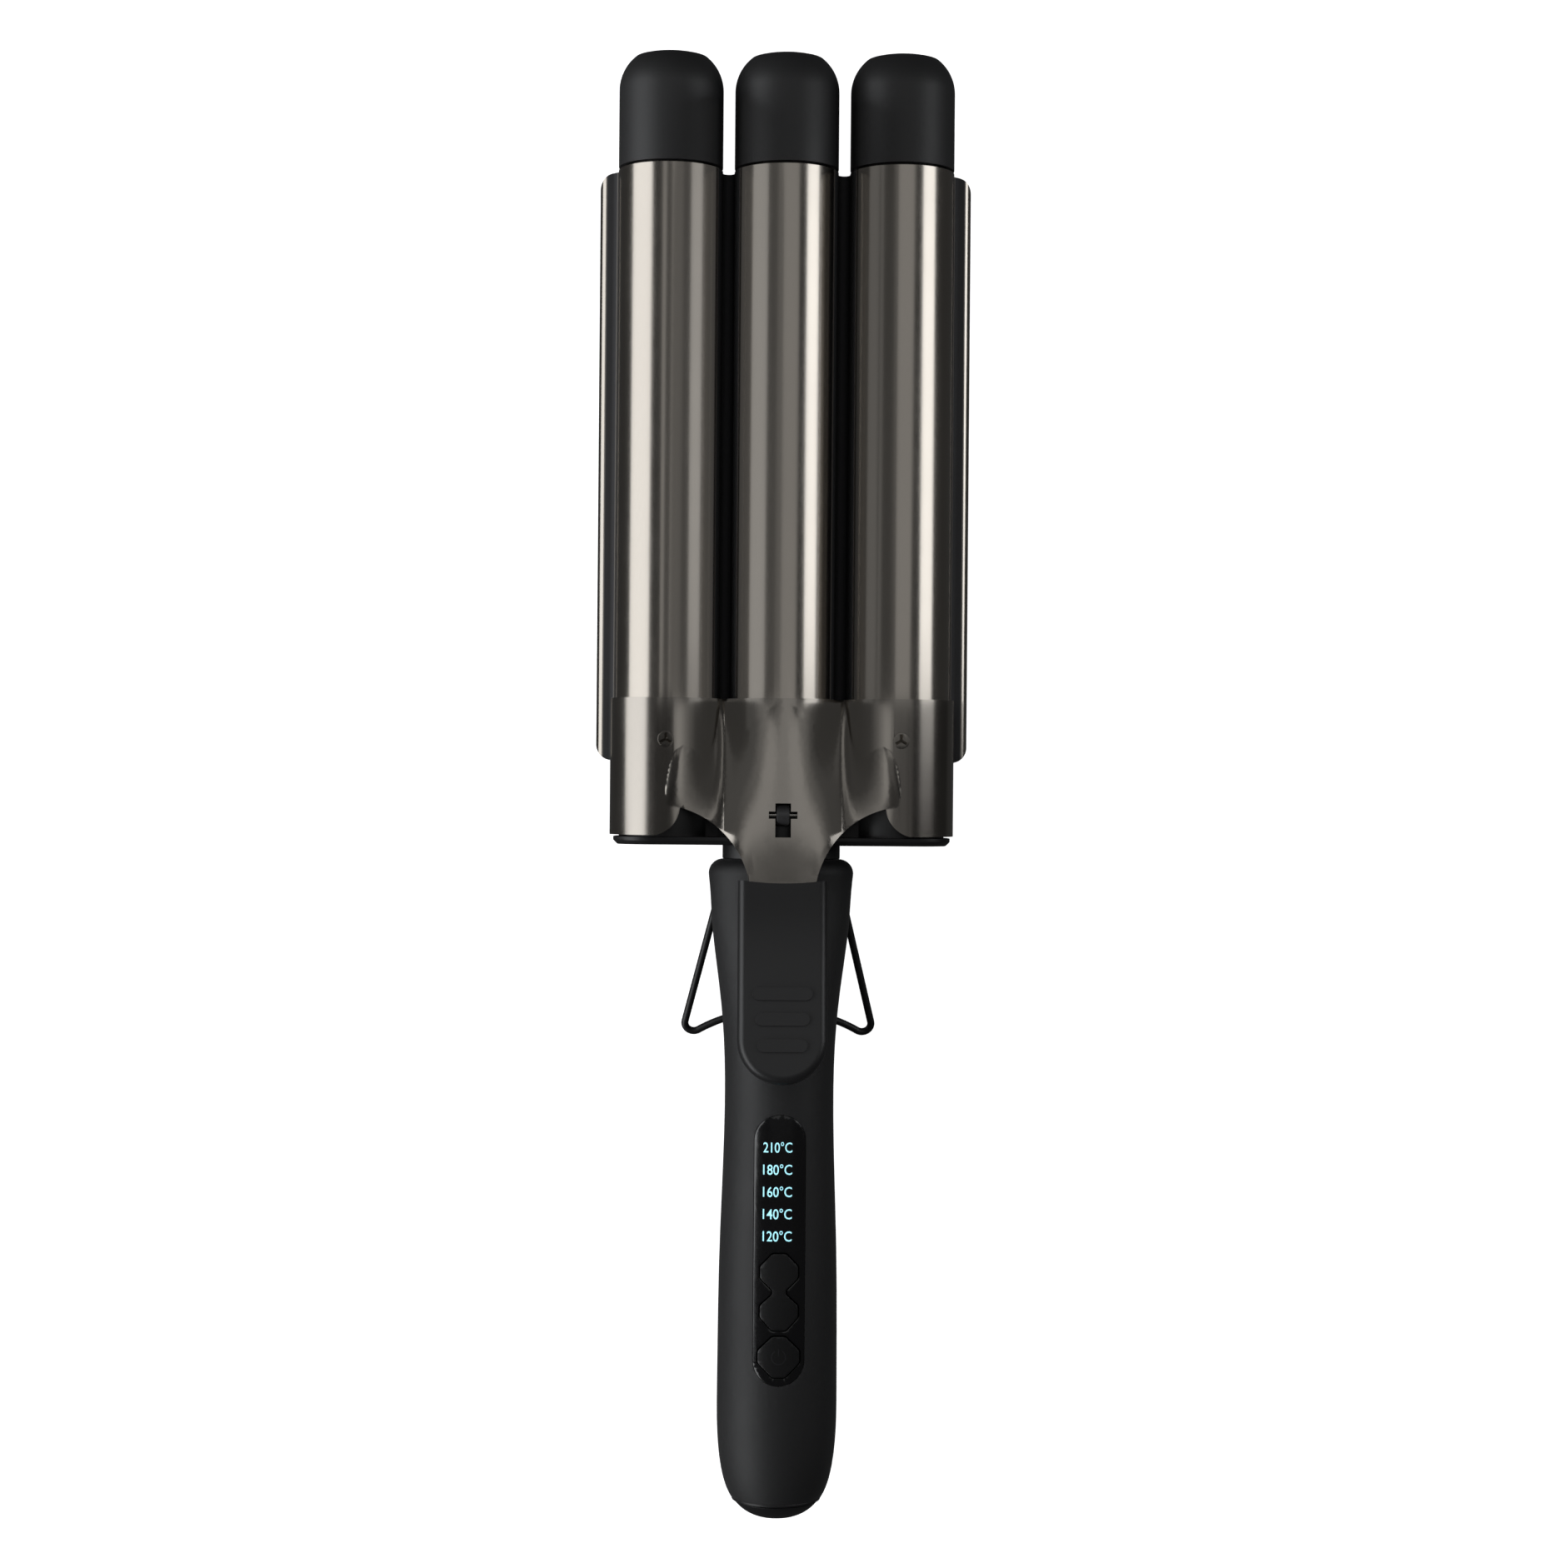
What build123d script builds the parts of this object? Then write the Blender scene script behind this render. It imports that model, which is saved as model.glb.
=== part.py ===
from build123d import *
from math import cos, radians, sin, tan
import os

# Three-barrel hair waver, lying on its back: X across, +Y to the barrel tips, +Z up.
# Stations are distances in mm from the butt of the handle, and heights are measured
# from the plane through the three barrel axes.

# ---------------------------------------------------------------- lengths along the tool
DOME_HEIGHT = 3.9
SWIVEL_GAP = 0.2
RING_LIP = 0.7
HANDLE_LENGTH = 153.9
NECK_LENGTH = 3.4
HOUSING_LENGTH = 14.3
PLATE_SETBACK = 5.8
PLATE_LENGTH = 142.4
CAP_GAP = 0.6
CAP_LENGTH = 28.0
YOKE_LAP = 15.0
HINGE_OFFSET = 7.3

HANDLE_START = DOME_HEIGHT + SWIVEL_GAP + RING_LIP
HANDLE_TOP = HANDLE_START + HANDLE_LENGTH
HOUSING_BOTTOM = HANDLE_TOP + NECK_LENGTH
HOUSING_TOP = HOUSING_BOTTOM + HOUSING_LENGTH
PLATE_BOTTOM = HOUSING_TOP + PLATE_SETBACK
PLATE_TOP = PLATE_BOTTOM + PLATE_LENGTH
CAP_START = PLATE_TOP + CAP_GAP
OVERALL_LENGTH = CAP_START + CAP_LENGTH
YOKE_TOP = PLATE_BOTTOM + YOKE_LAP
HINGE_STATION = HOUSING_BOTTOM + HINGE_OFFSET

# ---------------------------------------------------------------- barrels and tip caps
BARREL_PITCH = 28.0
BARREL_RADIUS = 11.0
BARREL_WALL = 0.8
FIT = 0.05
BARREL_AXES = {"left": -BARREL_PITCH, "middle": 0.0, "right": BARREL_PITCH}
CAP_RADIUS = 12.6
CAP_CREST_RADIUS = 8.8
CAP_SHOULDER = 9.3
CAP_DOME = 1.3
CAP_SOCKET = 8.0
CAP_WALL = 1.6
HEATER_WIDTH = 7.0
HEATER_THICKNESS = 3.0
SENSOR_RADIUS = 1.2
SENSOR_LENGTH = 4.0

# ---------------------------------------------------------------- clamp plate and yoke
SHEET = 0.9
PLATE_CLEARANCE = 0.7
NEST_GAP = 0.05
VALLEY_DEPTH = 1.5
FLANGE_BEND = 1.5
FLANGE_FLAT = 0.9
LIP_BEND = 1.2
LIP_DROP = 0.5
WALL_DROP = 1.0
FLANGE_CORNER = 4.0
YOKE_SKIRT = 3.0
YOKE_EDGE_GAP = 0.4
YOKE_CREST_RISE = 1.2
NOTCH_X = 24.5
NOTCH_HEIGHT = 6.6
LOBE_CORNER_X = 30.3
TONGUE_HALF_WIDTH = 8.0
TONGUE_SIDE_X = 12.3
TONGUE_SIDE_DROP = 1.4
KNUCKLE_SLOT_WIDTH = 3.7
KNUCKLE_SLOT_UP = 2.8
KNUCKLE_SLOT_DOWN = 5.3
PIN_WINDOW_LENGTH = 6.8
PIN_WINDOW_WIDTH = 1.7
EAR_SPACING = 4.9
EAR_THICKNESS = 1.0
EAR_LENGTH = 3.6
EAR_DEPTH = 1.4
CLAMP_SCREW_LAP = 5.1
CLAMP_SCREW_HEAD = 1.9
CLAMP_SCREW_SHANK = 1.2

PLATE_INNER = BARREL_RADIUS + PLATE_CLEARANCE
PLATE_OUTER = PLATE_INNER + SHEET
YOKE_INNER = PLATE_OUTER + NEST_GAP
YOKE_OUTER = YOKE_INNER + SHEET
YOKE_CREST = YOKE_OUTER + YOKE_CREST_RISE

# Drops of the yoke's smooth middle below its crest, from the centre line outward.
FAN_X = (0.0, 6.0, 11.0, 14.5, 19.0, BARREL_PITCH)
FAN_TOP_DROPS = (1.2, 3.1, 6.8, 11.15, 11.15, 11.15)
FAN_UPPER_DROPS = (0.5, 1.7, 5.4, 7.2, 4.6, 2.0)
FAN_HINGE_DROPS = (0.0, 0.5, 1.8, 3.4, 3.2, 1.4)
FAN_SEAT_DROPS = (0.0, 0.05, 0.6, 1.2, 1.6, 2.4)

# ---------------------------------------------------------------- hinge
HINGE_HEIGHT = 12.6
PIN_RADIUS = 0.6
PIN_FIT = 0.05
PIN_LENGTH = 12.0
KNUCKLE_RADIUS = 2.5
KNUCKLE_THICKNESS = 3.1
KNUCKLE_FOOT = 4.4
KNUCKLE_FOOT_HEIGHT = 1.0

# ---------------------------------------------------------------- root housing and neck
HOUSING_WALL = 2.4
COLLAR_RADIUS = 11.3
VALLEY_FILL = 6.0
END_FLANGE = 1.9
END_FLANGE_RADIUS = 12.6
END_FLANGE_DEPTH = 11.5
END_FLANGE_CORNER = 9.0
END_FLANGE_CHAMFER = 1.0
SPIGOT_LENGTH = 8.0
SPIGOT_WALL = 1.7
HOUSING_SCREW_X = 14.0
HOUSING_SCREW_OFFSET = 10.1
BOARD_OFFSET = 4.3
BOARD_THICKNESS = 1.6
BOARD_HALF_HEIGHT = 6.0
NECK_HALF_WIDTH = 14.2
NECK_HALF_DEPTH = 9.3
NECK_STEP = 2.1
NECK_WALL = 2.6
NECK_REACH_DOWN = 9.3
NECK_FLANGE = 2.0
FUSE_RADIUS = 1.5
FUSE_LENGTH = 8.0
FUSE_HEIGHT = 4.4

# ---------------------------------------------------------------- thumb lever
LEVER_SETBACK = 5.0
LEVER_LENGTH = 48.1
LEVER_HALF_WIDTH = 10.6
LEVER_SEAT = 16.2
LEVER_SLOPE = 10.6
LEVER_THICKNESS = 2.4
LEVER_SKIRT = 2.6
LEVER_SIDE = 2.2
LEVER_EDGE = 2.0
LEVER_TOP_SAG = 0.8
RIB_WIDTH = 3.1
RIB_HEIGHT = 0.5
RIBS = ((27.0, 14.1), (33.0, 12.7), (39.2, 11.8))
TAB_HALF_WIDTH = 8.0
TAB_LENGTH = 12.0
TAB_OVERLAP = 1.5
RIVET_RADIUS = 1.2
RIVET_HEAD = 2.1
RIVET_HEAD_HEIGHT = 0.4
RIVET_BITE = 1.4
RIVET_SPACING = 7.2
RIVET_OFFSET = 6.0
SPRING_OFFSET = 18.3
SPRING_RADIUS = 2.9
SPRING_WIRE = 0.35
SPRING_TURNS = 5
SPRING_SEAT = 8.0
SPRING_CUP_RADIUS = 3.6
SPRING_CUP_WALL = 1.4
SPRING_TOP_GAP = 0.1

# ---------------------------------------------------------------- handle
WALL = 2.2
END_WALL = 2.4
HANDLE_SHOULDER = 3.5
GRIP_FORM = (
    (0.000, 11.0, 10.9),
    (0.016, 12.2, 11.6),
    (0.045, 13.4, 12.5),
    (0.090, 14.25, 13.1),
    (0.180, 14.5, 13.4),
    (0.390, 14.15, 13.3),
    (0.630, 13.15, 12.7),
    (0.775, 14.25, 12.1),
    (0.900, 16.6, 11.6),
    (1.000, 18.0, 11.2),
)
STAND_PIVOT_SETBACK = 11.9
BUTT_SCREW_OFFSET = 18.6
PANEL_SCREW_OFFSET = 5.3
TOP_SCREW_SETBACK = 19.3
TOP_SCREW_X = 9.0
SCREW_DEPTH = 10.4
TOP_SCREW_DEPTH = 8.2
SCREW_RADIUS = 1.0
SCREW_HOLE = 1.2
SCREW_HEAD_RADIUS = 2.1
SCREW_HEAD_HEIGHT = 1.3
SCREW_HEAD_HOLE = 2.3
SCREW_BITE = 4.5
BOSS_RADIUS = 3.0

# ---------------------------------------------------------------- control panel
PANEL_START = 28.7
PANEL_LENGTH = 64.6
PANEL_WIDTH = 12.4
LENS_SEAT = 10.9
LENS_GAP = 0.1
LENS_LEDGE = 0.8
POWER_MARGIN = 7.1
BUTTON_SPACING = 15.4
ROCKER_CORNERS = ((1.6, 9.1), (4.5, 6.0), (4.5, 3.3), (1.05, 0.0))
POWER_CORNERS = ((1.5, 4.85), (4.95, 1.4))
BUTTON_GAP = 0.3
BUTTON_PROUD = 0.35
BUTTON_CORNER = 1.2
BUTTON_BASE = 7.0
BOARD_TOP = 5.0
PCB_THICKNESS = 1.6
PCB_HALF_WIDTH = 8.5
PCB_MARGIN = 0.7
PCB_SETBACK = 0.3
PCB_POST_INSET = 5.0
PCB_POST_X = 6.5
PCB_POST_RADIUS = 1.6
TACT_SIZE = 4.0
TACT_HEIGHT = 1.3
ROCKER_REACH = 5.5
TRUNNION_RADIUS = 0.8
TRUNNION_HALF = 6.6
TRUNNION_HEIGHT = 8.0
BRACKET_INNER = 5.2
BRACKET_LENGTH = 4.0
BRACKET_TOP = 9.0
DISPLAY_CLEARANCE = 9.4
DISPLAY_MARGIN = 6.3
DISPLAY_WIDTH = 8.4
DISPLAY_TOP_GAP = 0.1

PANEL_END = PANEL_START + PANEL_LENGTH
POWER_OFFSET = PANEL_START + POWER_MARGIN
ROCKER_OFFSET = POWER_OFFSET + BUTTON_SPACING
DISPLAY_START = ROCKER_OFFSET + DISPLAY_CLEARANCE
DISPLAY_END = PANEL_END - DISPLAY_MARGIN
PCB_START = PANEL_START - PCB_MARGIN
PCB_END = PANEL_END - PCB_SETBACK
PCB_POSTS = (PCB_START + PCB_POST_INSET, PCB_END - PCB_POST_INSET)

# ---------------------------------------------------------------- leads
LEAD_RADIUS = 0.9
LEAD_X = 4.2
LEAD_HEIGHT = -2.8
TERMINAL_LENGTH = 5.0
TERMINAL_HALF_WIDTH = 6.0
TERMINAL_DEPTH = 4.3
SUPPLY_HEIGHT = 4.2

# ---------------------------------------------------------------- wire stand
STAND_WIRE = 0.9
STAND_FIT = 0.05
STAND_DROP = 6.0
STAND_END_X = 11.2
STAND_LEG_X = 15.7
STAND_FOOT_X = 24.2
STAND_FOOT_REACH = 35.7
STAND_ARCH_REACH = 20.7
STAND_PIVOT_BEND = 1.2
STAND_BEND = 2.2
STAND_ARCH_RADIUS = 38.0
STAND_FOLD = 20.0
BUSHING_RADIUS = 2.2
BUSHING_INNER_X = 10.6
BUSHING_OUTER_X = 14.2

# ---------------------------------------------------------------- cord swivel
DOME_RADIUS = 10.2
DOME_SHOULDER_RADIUS = 7.4
DOME_SHOULDER_HEIGHT = 1.35
INLET_RADIUS = 3.2
INLET_FACE_RADIUS = 4.0
JOURNAL_RADIUS = 6.0
JOURNAL_LENGTH = 7.0
JOURNAL_FIT = 0.05
RING_RADIUS = 10.75
RING_PLUG_RADIUS = 8.9
RING_PLUG_LENGTH = 3.0
CLIP_RADIUS = 7.5
CLIP_THICKNESS = 0.7
CLIP_GAP = 0.2
CLIP_BITE = 1.0
SLIP_BOARD_RADIUS = 10.0
SLIP_BOARD_THICKNESS = 1.6
SLIP_BOARD_GAP = 0.5


def stand_line(leaf):
    """Centre line of the bent wire in the plane of its leaf, with y away from the pivot."""
    with BuildLine(leaf) as outline:
        FilletPolyline(
            (-STAND_END_X, 0),
            (-STAND_LEG_X, 0),
            (-STAND_FOOT_X, STAND_FOOT_REACH),
            (0, STAND_ARCH_REACH),
            (STAND_FOOT_X, STAND_FOOT_REACH),
            (STAND_LEG_X, 0),
            (STAND_END_X, 0),
            radius=(STAND_PIVOT_BEND, STAND_BEND, STAND_ARCH_RADIUS, STAND_BEND, STAND_PIVOT_BEND),
        )
    return outline.line


# The folded stand's feet are the lowest point, so they set the height of the barrel axes.
FOOT_REACH = stand_line(Plane.XY).bounding_box().max.Y
MID_Z = STAND_DROP + FOOT_REACH * sin(radians(STAND_FOLD)) + STAND_WIRE


def along(station):
    """Y of a station, with the origin at the middle of the overall length."""
    return station - OVERALL_LENGTH / 2


def plan_plane(height):
    """Horizontal plane at a height above the barrel axes."""
    return Plane.XY.offset(MID_Z + height)


def cross_plane(station):
    """Plane across the tool: x is across, y is up, and negative extrusions run to the tips."""
    return Plane(origin=(0, along(station), MID_Z), x_dir=(1, 0, 0), z_dir=(0, -1, 0))


def lever_plane(height):
    """Plane of the lever's seat: y runs up to the tips, and the seat rises toward the butt."""
    tilt = radians(LEVER_SLOPE)
    seat = Plane(
        origin=(0, along(HANDLE_TOP - LEVER_SETBACK), MID_Z + LEVER_SEAT),
        x_dir=(1, 0, 0),
        z_dir=(0, sin(tilt), cos(tilt)),
    )
    return seat.offset(height)


def axis_along(x):
    """Axis of one barrel, or of the handle at x = 0."""
    return Axis((x, 0, MID_Z), (0, 1, 0))


def save(built, name):
    """Labels a finished piece and writes it to its own file."""
    built.part.label = name
    export_step(built.part, f"parts/{name}.step")


# ================================================================ barrels
def make_barrel(side, x):
    with BuildPart() as barrel:
        with BuildSketch(cross_plane(HOUSING_TOP)):
            with Locations((x, 0)):
                Circle(BARREL_RADIUS)
                Circle(BARREL_RADIUS - BARREL_WALL, mode=Mode.SUBTRACT)
        extrude(amount=-(CAP_START + CAP_SOCKET - HOUSING_TOP))
    save(barrel, f"barrel_{side}")


def make_tip_cap(side, x):
    """Black end cap: straight skirt, rounded shoulder and a shallow dome."""
    shoulder = OVERALL_LENGTH - CAP_SHOULDER
    crest = OVERALL_LENGTH - CAP_DOME
    with BuildPart() as tip_cap:
        with BuildSketch(plan_plane(0)):
            with BuildLine():
                Line((x, along(CAP_START)), (x + CAP_RADIUS, along(CAP_START)))
                Line((x + CAP_RADIUS, along(CAP_START)), (x + CAP_RADIUS, along(shoulder)))
                TangentArc(
                    (x + CAP_RADIUS, along(shoulder)),
                    (x + CAP_CREST_RADIUS, along(crest)),
                    tangent=(0, 1),
                )
                RadiusArc(
                    (x + CAP_CREST_RADIUS, along(crest)),
                    (x, along(OVERALL_LENGTH)),
                    -(CAP_CREST_RADIUS**2 + CAP_DOME**2) / (2 * CAP_DOME),
                )
                Line((x, along(OVERALL_LENGTH)), (x, along(CAP_START)))
            make_face()
        revolve(axis=axis_along(x))
        with BuildSketch(cross_plane(CAP_START)):
            with Locations((x, 0)):
                Circle(BARREL_RADIUS + FIT)
        extrude(amount=-CAP_SOCKET, mode=Mode.SUBTRACT)
        with BuildSketch(cross_plane(CAP_START)):
            with Locations((x, 0)):
                Circle(BARREL_RADIUS - CAP_WALL)
        extrude(amount=-(shoulder - CAP_START), mode=Mode.SUBTRACT)
    save(tip_cap, f"tip_cap_{side}")


def make_heater(side, x):
    """Ceramic heating strip from the junction board almost to the tube's end."""
    start = HOUSING_BOTTOM + BOARD_OFFSET + BOARD_THICKNESS
    with BuildPart() as heater:
        with BuildSketch(cross_plane(start)):
            with Locations((x, 0)):
                Rectangle(HEATER_WIDTH, HEATER_THICKNESS)
        extrude(amount=-(CAP_START - start))
    save(heater, f"heater_strip_{side}")


def make_spreader(side, x):
    """Pair of half-round aluminium blocks that hold the strip and fill the tube."""
    start = HOUSING_TOP + SPIGOT_LENGTH + FIT
    with BuildPart() as spreader:
        with BuildSketch(cross_plane(start)):
            with Locations((x, 0)):
                Circle(BARREL_RADIUS - BARREL_WALL - FIT)
                Rectangle(2 * BARREL_RADIUS, HEATER_THICKNESS + 2 * FIT, mode=Mode.SUBTRACT)
        extrude(amount=-(CAP_START - start))
    save(spreader, f"heat_spreader_{side}")


def make_thermistor():
    """Temperature sensor at the tip end of the middle heating strip."""
    with BuildPart() as thermistor:
        with BuildSketch(cross_plane(CAP_START)):
            Circle(SENSOR_RADIUS)
        extrude(amount=-SENSOR_LENGTH)
    save(thermistor, "thermistor")


# ================================================================ clamp plate
def make_clamp_plate():
    """Corrugated sheet over the three barrels, with a rolled flange down each side."""
    middle_radius = (PLATE_INNER + PLATE_OUTER) / 2
    valley_radius = BARREL_PITCH / 2 - middle_radius
    bend = FLANGE_BEND + SHEET / 2
    lip = LIP_BEND + SHEET / 2
    wall_x = BARREL_PITCH + middle_radius
    flange_x = wall_x + bend
    flange_z = -WALL_DROP - bend
    lip_x = flange_x + FLANGE_FLAT
    with BuildPart() as clamp_plate:
        with BuildSketch(cross_plane(PLATE_BOTTOM)):
            with BuildLine():
                for x in BARREL_AXES.values():
                    CenterArc((x, 0), middle_radius, 0, 180)
                for side in (-1, 1):
                    valley_x = side * BARREL_PITCH / 2
                    for edge in (-valley_radius, valley_radius):
                        Line((valley_x + edge, 0), (valley_x + edge, -VALLEY_DEPTH))
                    CenterArc((valley_x, -VALLEY_DEPTH), valley_radius, 180, 180)
                    Line((side * wall_x, 0), (side * wall_x, -WALL_DROP))
                    CenterArc((side * flange_x, -WALL_DROP), bend, 90 + 90 * side, 90 * side)
                    Line((side * flange_x, flange_z), (side * lip_x, flange_z))
                    CenterArc((side * lip_x, flange_z - lip), lip, 90, -90 * side)
                    Line(
                        (side * (lip_x + lip), flange_z - lip),
                        (side * (lip_x + lip), flange_z - lip - LIP_DROP),
                    )
            trace(line_width=SHEET)
        extrude(amount=-PLATE_LENGTH)
        with BuildSketch(plan_plane(-BARREL_PITCH)):
            with Locations((0, along(PLATE_BOTTOM + PLATE_LENGTH / 2))):
                RectangleRounded(2 * (lip_x + lip + SHEET / 2), PLATE_LENGTH, FLANGE_CORNER)
        extrude(amount=2 * BARREL_PITCH, mode=Mode.INTERSECT)
        with BuildSketch(plan_plane(0)):
            with Locations(*clamp_screw_places()):
                Circle(CLAMP_SCREW_SHANK + FIT)
        extrude(amount=BARREL_PITCH, mode=Mode.SUBTRACT)
    save(clamp_plate, "clamp_plate")


def clamp_screw_places():
    """Plan positions of the two screws on the crests of the outer bulges."""
    y = along(PLATE_BOTTOM + CLAMP_SCREW_LAP)
    return ((-BARREL_PITCH, y), (BARREL_PITCH, y))


def make_clamp_screws():
    """Two screws whose flat heads lie flush in the yoke."""
    with BuildPart() as clamp_screws:
        with BuildSketch(plan_plane(PLATE_INNER)):
            with Locations(*clamp_screw_places()):
                Circle(CLAMP_SCREW_SHANK)
        extrude(amount=SHEET)
        with BuildSketch(plan_plane(PLATE_OUTER)):
            with Locations(*clamp_screw_places()):
                Circle(CLAMP_SCREW_HEAD)
        extrude(amount=SHEET + NEST_GAP)
    save(clamp_screws, "clamp_screws")


# ================================================================ clamp yoke
def fan_section(heights):
    """Closed outline across the yoke's middle: a smooth crest line over a flat bottom."""
    right = list(zip(FAN_X, heights))
    left = [(-x, z) for x, z in right[:0:-1]]
    with BuildSketch() as section:
        with BuildLine():
            Spline(*(left + right))
            Polyline(
                right[-1],
                (BARREL_PITCH, -YOKE_SKIRT - SHEET),
                (-BARREL_PITCH, -YOKE_SKIRT - SHEET),
                left[0],
            )
        make_face()
    return section.sketch


def fan_form(inset):
    """Filled form of the yoke's middle, from the valleys at its top to the narrow tongue."""
    sections = (
        (YOKE_TOP, YOKE_CREST, FAN_TOP_DROPS),
        ((YOKE_TOP + HINGE_STATION) / 2, YOKE_CREST, FAN_UPPER_DROPS),
        (HINGE_STATION, YOKE_CREST, FAN_HINGE_DROPS),
        (HANDLE_TOP - LEVER_SETBACK, LEVER_SEAT, FAN_SEAT_DROPS),
    )
    with BuildPart() as form:
        for station, crest, drops in sections:
            outline = fan_section([crest - drop - inset for drop in drops])
            with BuildSketch(cross_plane(station)):
                add(outline)
        loft()
    return form.part


def yoke_outline():
    """Plan of the yoke: two lobes, two notches and a tongue that narrows to the lever."""
    edge = along(HOUSING_BOTTOM + END_FLANGE + YOKE_EDGE_GAP)
    notch = edge + NOTCH_HEIGHT
    tongue = along(HANDLE_TOP - LEVER_SETBACK)
    with BuildSketch(plan_plane(-YOKE_SKIRT)) as outline:
        with BuildLine():
            Polyline(
                (0, along(YOKE_TOP)),
                (YOKE_OUTER + BARREL_PITCH, along(YOKE_TOP)),
                (YOKE_OUTER + BARREL_PITCH, edge),
                (LOBE_CORNER_X, edge),
            )
            ThreePointArc(
                (LOBE_CORNER_X, edge),
                ((LOBE_CORNER_X + 2 * NOTCH_X) / 3, (2 * edge + notch) / 3),
                (NOTCH_X, notch),
            )
            ThreePointArc(
                (NOTCH_X, notch),
                (TONGUE_SIDE_X, edge - TONGUE_SIDE_DROP),
                (TONGUE_HALF_WIDTH, tongue),
            )
            Polyline((TONGUE_HALF_WIDTH, tongue), (0, tongue), (0, along(YOKE_TOP)))
        make_face()
        mirror(about=Plane.YZ)
    return outline.sketch


def make_clamp_yoke():
    """Stamped sheet that carries the clamp plate, the hinge ears and the lever's tab."""
    outer_fan = fan_form(0)
    inner_fan = fan_form(SHEET)
    outline = yoke_outline()
    lobe_length = YOKE_TOP - HOUSING_BOTTOM
    lap_start = PLATE_BOTTOM - NEST_GAP
    with BuildPart() as clamp_yoke:
        add(outer_fan)
        with BuildSketch(cross_plane(HOUSING_BOTTOM)):
            with Locations((-BARREL_PITCH, 0), (BARREL_PITCH, 0)):
                Circle(YOKE_OUTER)
                Rectangle(2 * YOKE_OUTER, 2 * YOKE_OUTER, align=(Align.CENTER, Align.MAX))
        extrude(amount=-lobe_length)
        with BuildSketch(cross_plane(lap_start)):
            Circle(YOKE_OUTER)
        extrude(amount=-(YOKE_TOP - lap_start))
        with BuildSketch(plan_plane(HINGE_HEIGHT - EAR_DEPTH)):
            with Locations((-EAR_SPACING, along(HINGE_STATION)), (EAR_SPACING, along(HINGE_STATION))):
                Rectangle(EAR_THICKNESS, EAR_LENGTH)
        ears = extrude(amount=EAR_DEPTH + SHEET, mode=Mode.PRIVATE)
        add(inner_fan, mode=Mode.SUBTRACT)
        with BuildSketch(cross_plane(HOUSING_BOTTOM)):
            with Locations((-BARREL_PITCH, 0), (BARREL_PITCH, 0)):
                Circle(YOKE_INNER)
                Rectangle(2 * YOKE_INNER, 2 * YOKE_OUTER, align=(Align.CENTER, Align.MAX))
        extrude(amount=-lobe_length, mode=Mode.SUBTRACT)
        with BuildSketch(cross_plane(lap_start)):
            Circle(YOKE_INNER)
        extrude(amount=-(YOKE_TOP - lap_start), mode=Mode.SUBTRACT)
        add(outline)
        extrude(amount=2 * BARREL_PITCH, mode=Mode.INTERSECT)
        with BuildSketch(plan_plane(-YOKE_SKIRT)):
            with Locations((0, along(PLATE_BOTTOM - YOKE_EDGE_GAP))):
                Rectangle(
                    2 * (BARREL_PITCH + YOKE_OUTER),
                    YOKE_LAP + YOKE_EDGE_GAP,
                    align=(Align.CENTER, Align.MIN),
                )
        extrude(amount=YOKE_SKIRT - WALL_DROP, mode=Mode.SUBTRACT)
        add(ears)
        with BuildSketch(lever_plane(-SHEET)):
            with Locations((0, TAB_OVERLAP)):
                Rectangle(
                    2 * TAB_HALF_WIDTH, TAB_LENGTH + TAB_OVERLAP, align=(Align.CENTER, Align.MAX)
                )
        extrude(amount=SHEET)
        with BuildSketch(plan_plane(HINGE_HEIGHT)):
            with Locations((0, along(HINGE_STATION))):
                Rectangle(PIN_WINDOW_LENGTH, PIN_WINDOW_WIDTH)
            with Locations((0, along(HINGE_STATION + KNUCKLE_SLOT_UP))):
                Rectangle(
                    KNUCKLE_SLOT_WIDTH,
                    KNUCKLE_SLOT_UP + KNUCKLE_SLOT_DOWN,
                    align=(Align.CENTER, Align.MAX),
                )
            with Locations(*clamp_screw_places()):
                Circle(CLAMP_SCREW_HEAD + FIT)
        extrude(amount=BARREL_PITCH, mode=Mode.SUBTRACT)
        with BuildSketch(lever_plane(-2 * SHEET)):
            with Locations(*rivet_places()):
                Circle(RIVET_RADIUS + FIT)
        extrude(amount=2 * SHEET, mode=Mode.SUBTRACT)
        with BuildSketch(Plane.YZ.offset(-PIN_LENGTH / 2)):
            with Locations((along(HINGE_STATION), MID_Z + HINGE_HEIGHT)):
                Circle(PIN_RADIUS)
        extrude(amount=PIN_LENGTH, mode=Mode.SUBTRACT)
    save(clamp_yoke, "clamp_yoke")


# ================================================================ hinge
def make_hinge_pin():
    """Steel pin through the yoke's ears and the knuckle."""
    with BuildPart() as hinge_pin:
        with BuildSketch(Plane.YZ.offset(-PIN_LENGTH / 2)):
            with Locations((along(HINGE_STATION), MID_Z + HINGE_HEIGHT)):
                Circle(PIN_RADIUS)
        extrude(amount=PIN_LENGTH)
    save(hinge_pin, "hinge_pin")


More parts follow.
